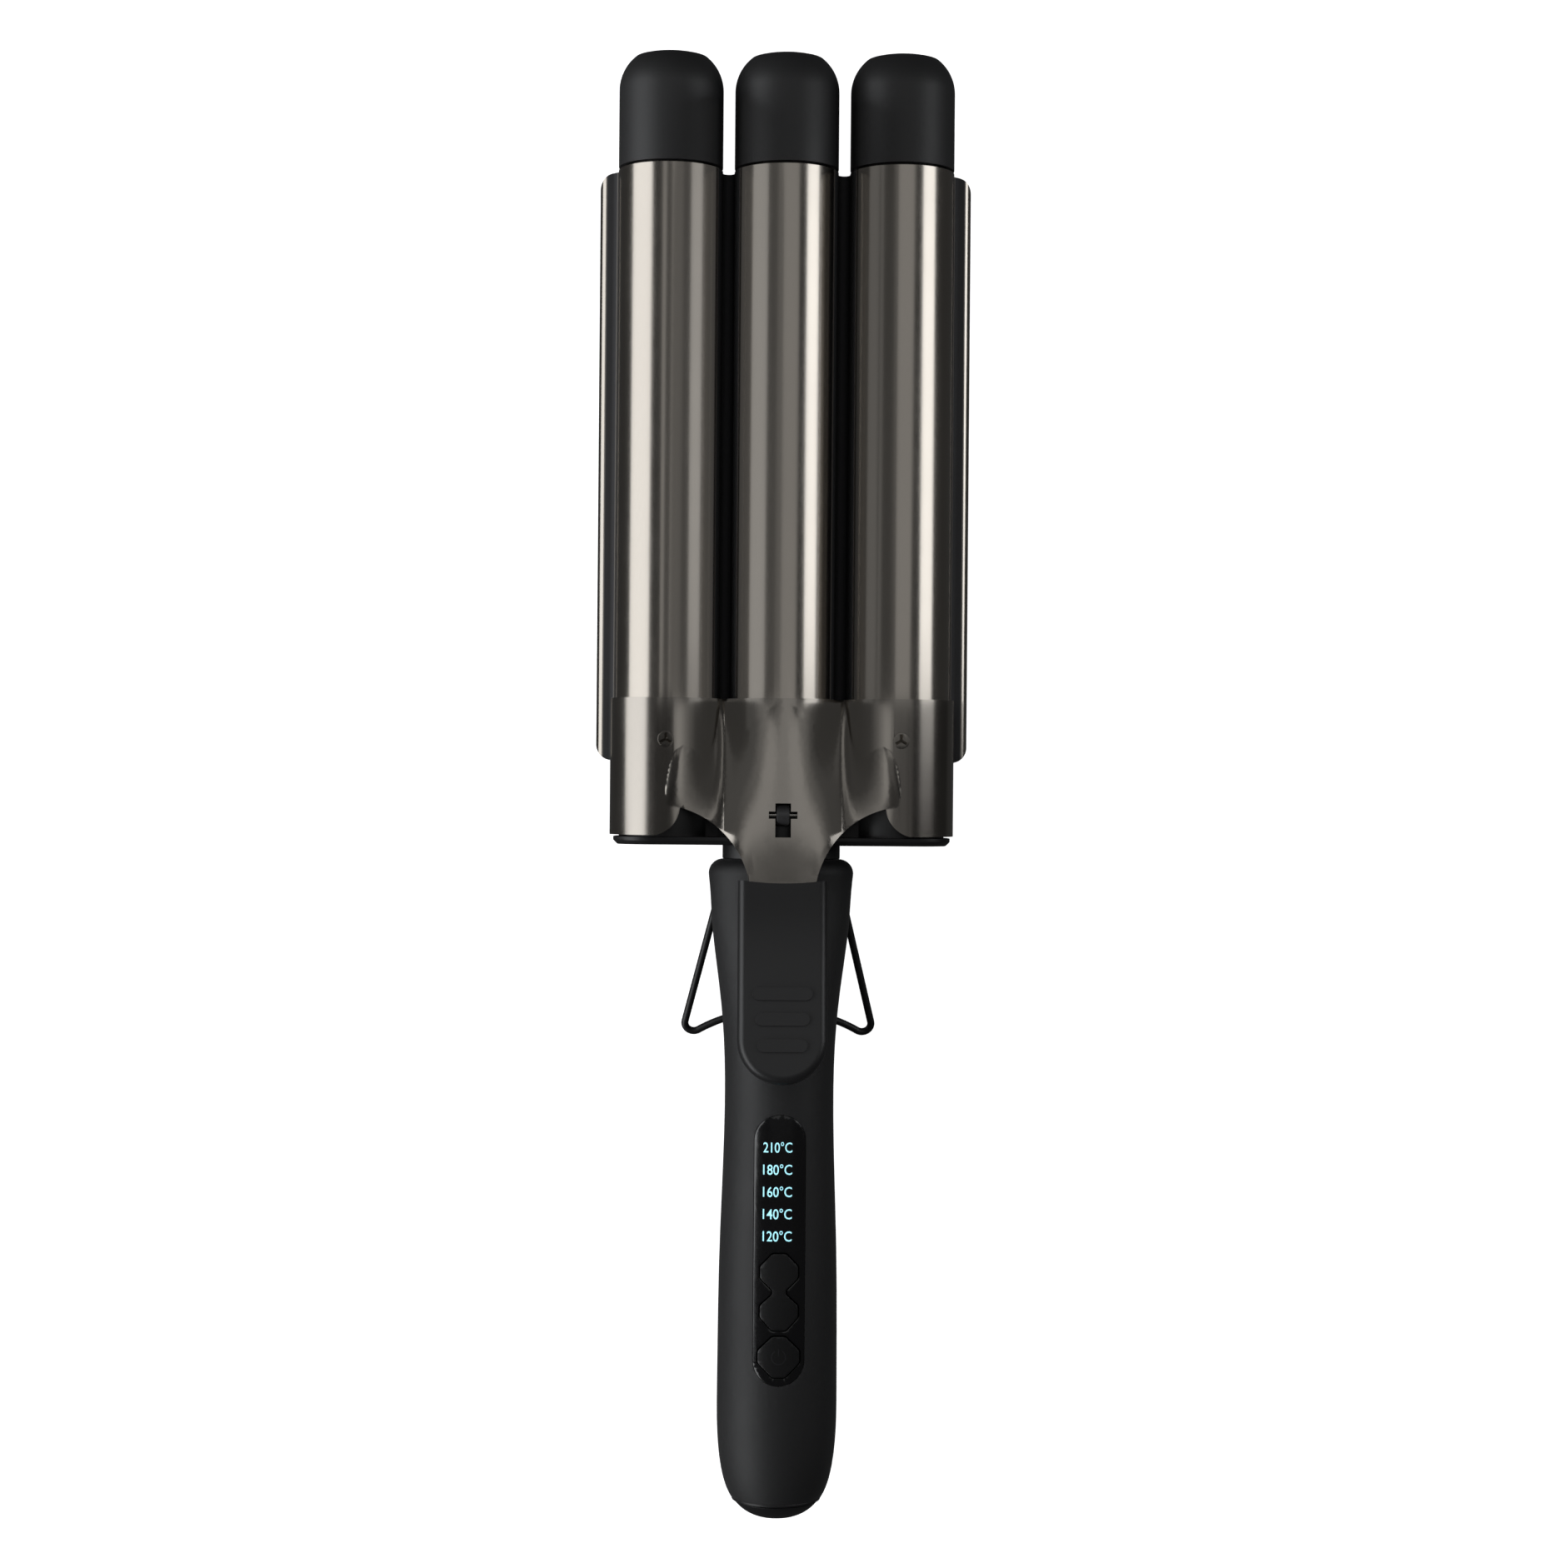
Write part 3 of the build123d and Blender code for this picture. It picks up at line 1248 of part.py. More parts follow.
def make_cord_swivel():
    """Domed swivel with the bore that the cord enters by."""
    with BuildPart() as cord_swivel:
        with BuildSketch(plan_plane(0)):
            with BuildLine():
                Line((0, along(0)), (INLET_FACE_RADIUS, along(0)))
                ThreePointArc(
                    (INLET_FACE_RADIUS, along(0)),
                    (DOME_SHOULDER_RADIUS, along(DOME_SHOULDER_HEIGHT)),
                    (DOME_RADIUS, along(DOME_HEIGHT)),
                )
                Line((DOME_RADIUS, along(DOME_HEIGHT)), (0, along(DOME_HEIGHT)))
                Line((0, along(DOME_HEIGHT)), (0, along(0)))
            make_face()
        revolve(axis=axis_along(0))
        with BuildSketch(cross_plane(DOME_HEIGHT)):
            Circle(JOURNAL_RADIUS)
        extrude(amount=-JOURNAL_LENGTH)
        with BuildSketch(cross_plane(clip_station() - FIT)):
            Circle(JOURNAL_RADIUS)
            Circle(JOURNAL_RADIUS - CLIP_BITE, mode=Mode.SUBTRACT)
        extrude(amount=-(CLIP_THICKNESS + 2 * FIT), mode=Mode.SUBTRACT)
        with BuildSketch(cross_plane(0)):
            Circle(INLET_RADIUS)
        extrude(amount=-(DOME_HEIGHT + JOURNAL_LENGTH), mode=Mode.SUBTRACT)
    save(cord_swivel, "cord_swivel")


def clip_station():
    """Station of the clip, just past the inner face of the end ring."""
    return HANDLE_START + RING_PLUG_LENGTH + CLIP_GAP


def make_swivel_clip():
    """Clip in the journal's groove that keeps the swivel in the ring."""
    with BuildPart() as swivel_clip:
        with BuildSketch(cross_plane(clip_station())):
            Circle(CLIP_RADIUS)
            Circle(JOURNAL_RADIUS - CLIP_BITE + FIT, mode=Mode.SUBTRACT)
        extrude(amount=-CLIP_THICKNESS)
    save(swivel_clip, "swivel_clip")


def make_slip_ring_board():
    """Round board across the butt that passes the current to the turning swivel."""
    with BuildPart() as slip_ring_board:
        with BuildSketch(cross_plane(slip_board_station())):
            Circle(SLIP_BOARD_RADIUS)
        extrude(amount=-SLIP_BOARD_THICKNESS)
    save(slip_ring_board, "slip_ring_board")


os.makedirs("parts", exist_ok=True)
for barrel_side, barrel_x in BARREL_AXES.items():
    make_barrel(barrel_side, barrel_x)
    make_tip_cap(barrel_side, barrel_x)
    make_heater(barrel_side, barrel_x)
    make_spreader(barrel_side, barrel_x)
make_thermistor()
make_clamp_plate()
make_clamp_screws()
make_clamp_yoke()
make_hinge_pin()
make_hinge_knuckle()
make_root_housing()
make_housing_screws()
make_junction_board()
make_thermal_fuse()
make_neck()
make_thumb_lever()
make_lever_rivets()
make_lever_spring()
grip_outer = grip_form(0)
grip_inner = grip_form(WALL)
grip_proud = grip_form(-BUTTON_PROUD)
make_handle(grip_outer, grip_inner)
make_handle_screws()
make_display_lens(grip_outer)
make_temperature_rocker(grip_proud)
make_rocker_brackets()
make_power_button(grip_proud)
make_pcb()
make_tact_switches()
make_led_display()
make_lead_terminals()
make_heater_leads()
make_supply_leads()
make_wire_stand()
make_stand_bushings()
make_end_ring()
make_cord_swivel()
make_swivel_clip()
make_slip_ring_board()
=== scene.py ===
"""Finishes, small pieces and studio for the three-barrel hair waver."""

import logging
import math
from dataclasses import dataclass
from enum import Enum

import bpy
from mathutils import Matrix, Vector


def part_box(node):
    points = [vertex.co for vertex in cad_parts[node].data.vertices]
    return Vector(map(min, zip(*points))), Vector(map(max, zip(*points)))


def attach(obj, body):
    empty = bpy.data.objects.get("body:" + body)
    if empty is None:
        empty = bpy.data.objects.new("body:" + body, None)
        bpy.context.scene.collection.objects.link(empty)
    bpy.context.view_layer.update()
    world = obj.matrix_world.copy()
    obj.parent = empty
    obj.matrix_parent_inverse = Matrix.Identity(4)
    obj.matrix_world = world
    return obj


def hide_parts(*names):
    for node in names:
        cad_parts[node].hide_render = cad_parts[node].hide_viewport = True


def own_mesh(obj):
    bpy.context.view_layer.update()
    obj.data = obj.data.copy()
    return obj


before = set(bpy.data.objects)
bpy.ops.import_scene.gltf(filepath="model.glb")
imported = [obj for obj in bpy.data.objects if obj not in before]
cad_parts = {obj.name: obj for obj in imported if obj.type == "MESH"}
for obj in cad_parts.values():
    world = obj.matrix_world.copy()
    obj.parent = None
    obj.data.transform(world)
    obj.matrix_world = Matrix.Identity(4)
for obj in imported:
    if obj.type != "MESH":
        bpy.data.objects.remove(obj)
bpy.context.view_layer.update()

MM = 0.001
LOG = logging.getLogger("waver")

MERGE_MM = 0.002  # points nearer than this are one
FLAT_DEGREES = 0.2  # faces that meet at less are one flat face
SMOOTH_DEGREES = 32.0  # faces that meet at less are shaded as one curve
EDGE_DEGREES = 38.0  # edges that turn more are rounded
NORMAL_WEIGHT = 100  # the largest face at a point sets its shading
ROUND_SIDES = 48  # sides of a turned or printed circle

GRAIN_DETAIL = 3.0
GRAIN_ROUGHNESS = 0.6
PATCH_DETAIL = 2.0
WEAR_SPAN = (0.1, 0.45)  # what grain times patch runs between
BUMP_STRENGTH = 0.5
COAT_ROUGHNESS = 0.05
SHEEN_ROUGHNESS = 0.4


class Side(Enum):
    """The way that a screw faces, as degrees of turn from facing up."""

    FRONT = 0
    BACK = 180


class Lie(Enum):
    """How a card stands, as degrees of turn from lying face up."""

    UPRIGHT = 90
    FLAT = 180


# ---------------------------------------------------------------- shader helpers
def linear(code: str) -> tuple[float, float, float, float]:
    """Turns an sRGB hex colour into a linear one.

    Args:
        code: A colour such as "#1a2b3c".

    Returns:
        Red, green, blue and an alpha of 1.
    """
    shares = [int(code[at : at + 2], 16) / 255 for at in (1, 3, 5)]
    red, green, blue = (
        s / 12.92 if s <= 0.04045 else ((s + 0.055) / 1.055) ** 2.4 for s in shares
    )
    return red, green, blue, 1.0


def add_node(
    tree: bpy.types.NodeTree,
    kind: str,
    settings: dict | None = None,
    links: dict | None = None,
) -> bpy.types.Node:
    """Adds a shader node with its settings and links.

    Args:
        tree: The node tree that takes the node.
        kind: Blender's name of the node's type.
        settings: Values by name or socket number; what isn't an input socket is a property.
        links: Output sockets by the name or number of the input that they feed.

    Returns:
        The new node.
    """
    node = tree.nodes.new(kind)
    for key, value in (settings or {}).items():
        if isinstance(key, int) or key in node.inputs:
            node.inputs[key].default_value = value
        else:
            setattr(node, key, value)
    for key, socket in (links or {}).items():
        tree.links.new(socket, node.inputs[key])
    return node


# ---------------------------------------------------------------- finishes
@dataclass(frozen=True)
class Finish:
    """A surface with a fine grain and slow, wide patches of wear and handling.

    Attributes:
        name: What the material is called.
        colour: Main sRGB colour.
        shade: Second sRGB colour, which the grain brings in.
        roughness: Roughness between the patches.
        roughness_range: How far the patches raise it.
        grain_mm: Size of one grain across.
        metallic: 1 for a bare metal.
        stretch: How much longer a grain is along x, y and z.
        bump_mm: Height of the grain.
        patch_mm: Size of one patch.
        coat: Weight of a clear coat.
        sheen: Weight of the soft sheen of a rubbery skin.
        ior: Refractive index of a surface that isn't metal.
    """

    name: str
    colour: str
    shade: str
    roughness: float
    roughness_range: float
    grain_mm: float
    metallic: float = 0.0
    stretch: tuple[float, float, float] = (1.0, 1.0, 1.0)
    bump_mm: float = 0.004
    patch_mm: float = 18.0
    coat: float = 0.0
    sheen: float = 0.0
    ior: float = 1.5

    def build(self) -> bpy.types.Material:
        """Makes the material.

        Returns:
            The finished material.
        """
        material = bpy.data.materials.new(self.name)
        material.use_nodes = True
        material.diffuse_color = linear(self.colour)
        tree = material.node_tree
        tree.nodes.clear()
        place = add_node(tree, "ShaderNodeTexCoord").outputs["Object"]
        scales = [1 / (self.grain_mm * MM * long) for long in self.stretch]
        fine = add_node(tree, "ShaderNodeMapping", {"Scale": scales}, {"Vector": place})
        grain = add_node(
            tree,
            "ShaderNodeTexNoise",
            {"Scale": 1.0, "Detail": GRAIN_DETAIL, "Roughness": GRAIN_ROUGHNESS},
            {"Vector": fine.outputs["Vector"]},
        )
        patch = add_node(
            tree,
            "ShaderNodeTexNoise",
            {"Scale": 1 / (self.patch_mm * MM), "Detail": PATCH_DETAIL},
            {"Vector": place},
        )
        mix = add_node(
            tree,
            "ShaderNodeMix",
            {"data_type": "RGBA", 6: linear(self.colour), 7: linear(self.shade)},
            {0: grain.outputs["Fac"]},
        )
        both = add_node(
            tree,
            "ShaderNodeMath",
            {"operation": "MULTIPLY"},
            {0: grain.outputs["Fac"], 1: patch.outputs["Fac"]},
        )
        rough = add_node(
            tree,
            "ShaderNodeMapRange",
            {
                "From Min": WEAR_SPAN[0],
                "From Max": WEAR_SPAN[1],
                "To Min": self.roughness,
                "To Max": self.roughness + self.roughness_range,
            },
            {"Value": both.outputs["Value"]},
        )
        bump = add_node(
            tree,
            "ShaderNodeBump",
            {"Strength": BUMP_STRENGTH, "Distance": self.bump_mm * MM},
            {"Height": grain.outputs["Fac"]},
        )
        settings = {
            "Metallic": self.metallic,
            "Coat Weight": self.coat,
            "Coat Roughness": COAT_ROUGHNESS,
            "Sheen Weight": self.sheen,
            "Sheen Roughness": SHEEN_ROUGHNESS,
        }
        if not self.metallic:
            settings["IOR"] = self.ior
        shader = add_node(
            tree,
            "ShaderNodeBsdfPrincipled",
            settings,
            {
                "Base Color": mix.outputs[2],
                "Roughness": rough.outputs["Result"],
                "Normal": bump.outputs["Normal"],
            },
        )
        add_node(tree, "ShaderNodeOutputMaterial", links={"Surface": shader.outputs["BSDF"]})
        return material


@dataclass(frozen=True, kw_only=True)
class ShadedFinish(Finish):
    """A plating with painted shade darkening the narrow channels of a formed sheet.

    Attributes:
        bands: Distance from the middle line and half width of each band of painted shade, in mm.
        fade_mm: Width over which a band fades out.
        dark: sRGB colour of the painted shade within a band.
        dull: Roughness within a band, which dulls the painted shade.
    """

    bands: tuple[tuple[float, float], ...]
    fade_mm: float = 0.45
    dark: str = "#343436"
    dull: float = 0.75

    def band_share(
        self, tree: bpy.types.NodeTree, across: bpy.types.NodeSocket, middle: float, half: float
    ) -> bpy.types.NodeSocket:
        """Works out how far a point lies within one pair of bands.

        Args:
            tree: The material's nodes.
            across: Distance from the middle line in metres.
            middle: Distance of the band's middle in mm.
            half: Half the band's width in mm.

        Returns:
            1 within the band and 0 well outside it.
        """
        off = add_node(
            tree, "ShaderNodeMath", {"operation": "SUBTRACT", 1: middle * MM}, {0: across}
        )
        away = add_node(tree, "ShaderNodeMath", {"operation": "ABSOLUTE"}, {0: off.outputs[0]})
        share = add_node(
            tree,
            "ShaderNodeMapRange",
            {
                "From Min": half * MM,
                "From Max": (half + self.fade_mm) * MM,
                "To Min": 1.0,
                "To Max": 0.0,
            },
            {"Value": away.outputs[0]},
        )
        return share.outputs["Result"]

    def build(self) -> bpy.types.Material:
        """Makes the plating and paints shade into its bands.

        Returns:
            The finished material.
        """
        material = super().build()
        tree = material.node_tree
        shader = tree.nodes["Principled BSDF"]
        colour = shader.inputs["Base Color"].links[0].from_socket
        rough = shader.inputs["Roughness"].links[0].from_socket
        place = add_node(tree, "ShaderNodeTexCoord").outputs["Object"]
        split = add_node(tree, "ShaderNodeSeparateXYZ", links={0: place})
        across = add_node(
            tree, "ShaderNodeMath", {"operation": "ABSOLUTE"}, {0: split.outputs["X"]}
        )
        # Painted shade: within the bands the surface turns dark, dull and not metallic.
        shares = [self.band_share(tree, across.outputs[0], *band) for band in self.bands]
        painted_shade = shares[0]
        for share in shares[1:]:
            more = add_node(
                tree, "ShaderNodeMath", {"operation": "MAXIMUM"}, {0: painted_shade, 1: share}
            )
            painted_shade = more.outputs[0]
        mix = add_node(
            tree,
            "ShaderNodeMix",
            {"data_type": "RGBA", 7: linear(self.dark)},
            {0: painted_shade, 6: colour},
        )
        bare = add_node(
            tree, "ShaderNodeMath", {"operation": "SUBTRACT", 0: self.metallic}, {1: painted_shade}
        )
        shade_dulling = add_node(
            tree, "ShaderNodeMath", {"operation": "MULTIPLY", 1: self.dull}, {0: painted_shade}
        )
        dulled = add_node(
            tree, "ShaderNodeMath", {"operation": "MAXIMUM"}, {0: rough, 1: shade_dulling.outputs[0]}
        )
        tree.links.new(mix.outputs[2], shader.inputs["Base Color"])
        tree.links.new(bare.outputs[0], shader.inputs["Metallic"])
        tree.links.new(dulled.outputs[0], shader.inputs["Roughness"])
        return material


@dataclass(frozen=True, kw_only=True)
class LitFinish(Finish):
    """A clear or milky surface with a lamp behind it.

    Attributes:
        glow: sRGB colour of the light.
        power: Strength of the light.
    """

    glow: str
    power: float = 1.0

    def build(self) -> bpy.types.Material:
        """Makes the material and lets it glow.

        Returns:
            The finished material.
        """
        material = super().build()
        shader = material.node_tree.nodes["Principled BSDF"]
        shader.inputs["Emission Color"].default_value = linear(self.glow)
        shader.inputs["Emission Strength"].default_value = self.power
        return material


# Gunmetal plating on drawn aluminium sheet: mirror-like, with a faint grain along the draw, and
# painted shade, near black, in the valleys and the flange channels. Its grain is drawn
# coarser than the real one.
PLATED_SHEET = ShadedFinish(
    "plated_aluminium_sheet", "#a49e96", "#aca69e", roughness=0.17, roughness_range=0.06,
    grain_mm=0.2, metallic=1.0, stretch=(1, 12, 1), bump_mm=0.0006, patch_mm=22.0,
    bands=((14.0, 2.45), (42.2, 1.1)),
)
# The same plating on the stamped yoke, where the draw runs out and the grain is shorter.
PLATED_YOKE = Finish(
    "plated_stamped_sheet", "#9a958e", "#a29d96", roughness=0.19, roughness_range=0.06,
    grain_mm=0.22, metallic=1.0, stretch=(1, 6, 1), bump_mm=0.0006, patch_mm=14.0,
)
# Ceramic coating baked on an aluminium tube: dark, smooth, with a dull metallic gloss.
CERAMIC_COATING = Finish(
    "ceramic_coated_tube", "#3a3836", "#45423f", roughness=0.24, roughness_range=0.1, grain_mm=0.3,
    metallic=0.6, stretch=(1, 3, 1), bump_mm=0.002, patch_mm=16.0,
)
# Glass-filled nylon caps from a blasted mould: a dull black that lights softly at its edges.
CAP_NYLON = Finish(
    "moulded_nylon_caps", "#242425", "#2b2b2c", roughness=0.48, roughness_range=0.08, grain_mm=0.22,
    bump_mm=0.005,
)
# Heat-proof housing plastic: the same black, a little smoother and darker.
HOUSING_NYLON = Finish(
    "moulded_nylon_housing", "#141415", "#1b1b1c", roughness=0.4, roughness_range=0.1,
    grain_mm=0.25, bump_mm=0.005,
)
# The knuckle's plastic, a lighter grey than the housing's.
KNUCKLE_NYLON = Finish(
    "moulded_nylon_knuckle", "#3c3c3d", "#464647", roughness=0.38, roughness_range=0.08,
    grain_mm=0.2,
)
# Soft-touch lacquer on the grip: velvety, with a wide weak highlight.
SOFT_TOUCH = Finish(
    "soft_touch_lacquer", "#1a1a1b", "#202021", roughness=0.56, roughness_range=0.08, grain_mm=0.16,
    bump_mm=0.005, sheen=0.12,
)
# Satin ABS of the thumb lever.
LEVER_ABS = Finish(
    "satin_abs_lever", "#1f1f20", "#252526", roughness=0.38, roughness_range=0.06, grain_mm=0.2,
)
# Smoked acrylic over the display: black glass to the eye.
SMOKED_ACRYLIC = Finish(
    "smoked_acrylic", "#0b0b0c", "#0e0e10", roughness=0.16, roughness_range=0.05, grain_mm=0.8,
    bump_mm=0.0006, coat=0.3, ior=1.49,
)
# Buttons: lightly textured ABS, between the lens's gloss and the grip's dullness.
BUTTON_ABS = Finish(
    "button_abs", "#0d0d0e", "#131314", roughness=0.32, roughness_range=0.08, grain_mm=0.2,
)
# Bright drawn steel of pin, rivets, spring and clip.
BRIGHT_STEEL = Finish(
    "drawn_steel", "#b9b7b2", "#a9a7a2", roughness=0.22, roughness_range=0.12, grain_mm=0.2,
    metallic=1.0, stretch=(1, 4, 1), bump_mm=0.002,
)
# Blackened screws with turned heads.
BLACK_STEEL = Finish(
    "blackened_steel", "#5a5856", "#454341", roughness=0.34, roughness_range=0.12, grain_mm=0.15,
    metallic=1.0, bump_mm=0.003,
)
# Powder-coated stand wire: fine orange peel under a satin gloss.
COATED_WIRE = Finish(
    "powder_coated_wire", "#0f0f10", "#161617", roughness=0.38, roughness_range=0.1, grain_mm=0.3,
    bump_mm=0.008,
)
# Fired alumina strip.
ALUMINA = Finish(
    "fired_alumina", "#e9e4d8", "#dcd6c8", roughness=0.6, roughness_range=0.1, grain_mm=0.2,
)
# Extruded aluminium blocks with the die's lines along them.
EXTRUDED = Finish(
    "extruded_aluminium", "#c9cbcd", "#b5b7b9", roughness=0.36, roughness_range=0.14, grain_mm=0.3,
    metallic=1.0, stretch=(1, 20, 1), bump_mm=0.003,
)
# Glass bead of the sensor.
GLASS_BEAD = Finish(
    "glass_bead", "#a5703c", "#8a5c30", roughness=0.12, roughness_range=0.05, grain_mm=0.4,
    bump_mm=0.001, coat=0.8,
)
# Phenolic board, brown with paper fibres.
PHENOLIC = Finish(
    "phenolic_board", "#8a5c2b", "#74491f", roughness=0.5, roughness_range=0.1, grain_mm=0.4,
    stretch=(3, 1, 1),
)
# Green solder mask over glass cloth.
SOLDER_MASK = Finish(
    "solder_mask", "#12502a", "#0d4021", roughness=0.3, roughness_range=0.08, grain_mm=0.5,
    coat=0.3,
)
# Black switch and terminal plastic.
SWITCH_PBT = Finish(
    "switch_plastic", "#202124", "#292a2e", roughness=0.46, roughness_range=0.08, grain_mm=0.25,
)
# Milky light guide.
LIGHT_GUIDE = Finish(
    "light_guide", "#b7cdd4", "#a6bfc7", roughness=0.4, roughness_range=0.1, grain_mm=0.4,
)
# Silicone insulation of the leads.
SILICONE = Finish(
    "silicone_insulation", "#b5aea2", "#a79f92", roughness=0.55, roughness_range=0.1, grain_mm=0.3,
    bump_mm=0.006,
)
# Printed figures that glow pale cyan.
LIT_PRINT = LitFinish(
    "lit_print", "#9fdfee", "#8ed4e6", roughness=0.3, roughness_range=0.05, grain_mm=0.3,
    bump_mm=0.001, glow="#a6e4ef",
)
# Dark grey tampo print of the power sign.
GREY_PRINT = Finish(
    "grey_print", "#1d1d1f", "#242426", roughness=0.4, roughness_range=0.05, grain_mm=0.2,
    bump_mm=0.002,
)
# Opal glass of a light table, evenly lit from below.
TABLE_GLASS = LitFinish(
    "opal_table_glass", "#f4f4f3", "#f0f0ef", roughness=0.7, roughness_range=0.05, grain_mm=4.0,
    bump_mm=0.0, patch_mm=300.0, glow="#ffffff",
)


class FinishShelf:
    """Makes each finish once and hands it out by its recipe."""

    def __init__(self) -> None:
        """Starts with no material made."""
        self.made: dict[str, bpy.types.Material] = {}

    def get(self, finish: Finish) -> bpy.types.Material:
        """Gives the material of a finish.

        Args:
            finish: The recipe.

        Returns:
            Its material, made on first use.
        """
        if finish.name not in self.made:
            self.made[finish.name] = finish.build()
        return self.made[finish.name]


SHELF = FinishShelf()


# ---------------------------------------------------------------- modelling helpers
def deselect() -> None:
    """Leaves object mode's selection empty."""
    if bpy.context.object and bpy.context.object.mode != "OBJECT":
        bpy.ops.object.mode_set(mode="OBJECT")
    bpy.ops.object.select_all(action="DESELECT")


def activate(piece: bpy.types.Object) -> None:
    """Makes one object the only selected and the active one.

    Args:
        piece: The object.
    """
    deselect()
    piece.select_set(True)
    bpy.context.view_layer.objects.active = piece


def apply_modifier(piece: bpy.types.Object, kind: str, settings: dict) -> None:
    """Adds a modifier, sets it and applies it.

    Args:
        piece: The mesh object.
        kind: Blender's name of the modifier's type.
        settings: Property values by name.
    """
    activate(piece)
    modifier = piece.modifiers.new(kind.lower(), kind)
    for key, value in settings.items():
        setattr(modifier, key, value)
    bpy.ops.object.modifier_apply(modifier=modifier.name)


def settle(piece: bpy.types.Object) -> None:
    """Puts an object's place, turn and scale into its mesh."""
    activate(piece)
    bpy.ops.object.transform_apply(location=True, rotation=True, scale=True)


def smooth(piece: bpy.types.Object) -> None:
    """Shades an object's curved faces smooth."""
    activate(piece)
    bpy.ops.object.shade_smooth_by_angle(angle=math.radians(SMOOTH_DEGREES))


def open_mesh() -> None:
    """Enters edit mode with all of the active object's mesh selected."""
    bpy.ops.object.mode_set(mode="EDIT")
    bpy.ops.mesh.select_all(action="SELECT")


def round_edges(piece: bpy.types.Object, width_mm: float, steps: int = 2) -> None:
    """Rounds an object's sharp edges.

    Args:
        piece: The mesh object.
        width_mm: Width of the rounding.
        steps: Faces across the rounding.
    """
    apply_modifier(
        piece,
        "BEVEL",
        {
            "width": width_mm * MM,
            "segments": steps,
            "limit_method": "ANGLE",
            "angle_limit": math.radians(EDGE_DEGREES),
            "use_clamp_overlap": True,
        },
    )


def finish_piece(
    piece: bpy.types.Object, name: str, body: str, finish: Finish, slot: str, *nodes: str
) -> bpy.types.Object:
    """Names, paints and hands over a new piece.

    Args:
        piece: The mesh object, in place.
        name: Its name.
        body: The moving body that it rides on.
        finish: Its finish.
        slot: The record's material slot; not used.
        nodes: Names of the CAD nodes that it stands for.

    Returns:
        The same object.
    """
    settle(piece)
    piece.name = name
    piece.data.name = name
    piece.data.materials.clear()
    piece.data.materials.append(SHELF.get(finish))
    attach(piece, body)
    if nodes:
        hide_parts(*nodes)
    deselect()
    LOG.info("piece %s on %s", name, body)
    return piece


def dress(node: str, finish: Finish) -> None:
    """Gives a CAD node a finish.

    Args:
        node: The CAD node.
        finish: Its finish.
    """
    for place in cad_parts[node].material_slots:
        place.material = SHELF.get(finish)
        LOG.info("dressed %s in %s", node, finish.name)


def copy_node(node: str, name: str) -> bpy.types.Object:
    """Copies a CAD node's mesh into a new piece and merges its loose faces.

    Args:
        node: The CAD node.
        name: The new piece's name.

    Returns:
        The new piece, active, without a finish.
    """
    piece = bpy.data.objects.new(name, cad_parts[node].data.copy())
    bpy.context.scene.collection.objects.link(piece)
    activate(piece)
    bpy.ops.mesh.customdata_custom_splitnormals_clear()
    open_mesh()
    bpy.ops.mesh.remove_doubles(threshold=MERGE_MM * MM)
    bpy.ops.object.mode_set(mode="OBJECT")
    return piece


def soften(
    node: str, name: str, body: str, finish: Finish, slot: str, width_mm: float
) -> bpy.types.Object:
    """Stands a copy of a CAD node in for it, with its sharp edges rounded.

    Args:
        node: The CAD node.
        name: The new piece's name.
        body: The body that it rides on.
        finish: Its finish.
        slot: The record's material slot.
        width_mm: Width of the rounding.

    Returns:
        The new piece.
    """
    piece = copy_node(node, name)
    open_mesh()
    bpy.ops.mesh.dissolve_limited(angle_limit=math.radians(FLAT_DEGREES))
    bpy.ops.object.mode_set(mode="OBJECT")
    round_edges(piece, width_mm)
    smooth(piece)
    apply_modifier(piece, "WEIGHTED_NORMAL", {"weight": NORMAL_WEIGHT, "keep_sharp": True})
    return finish_piece(piece, name, body, finish, slot, node)


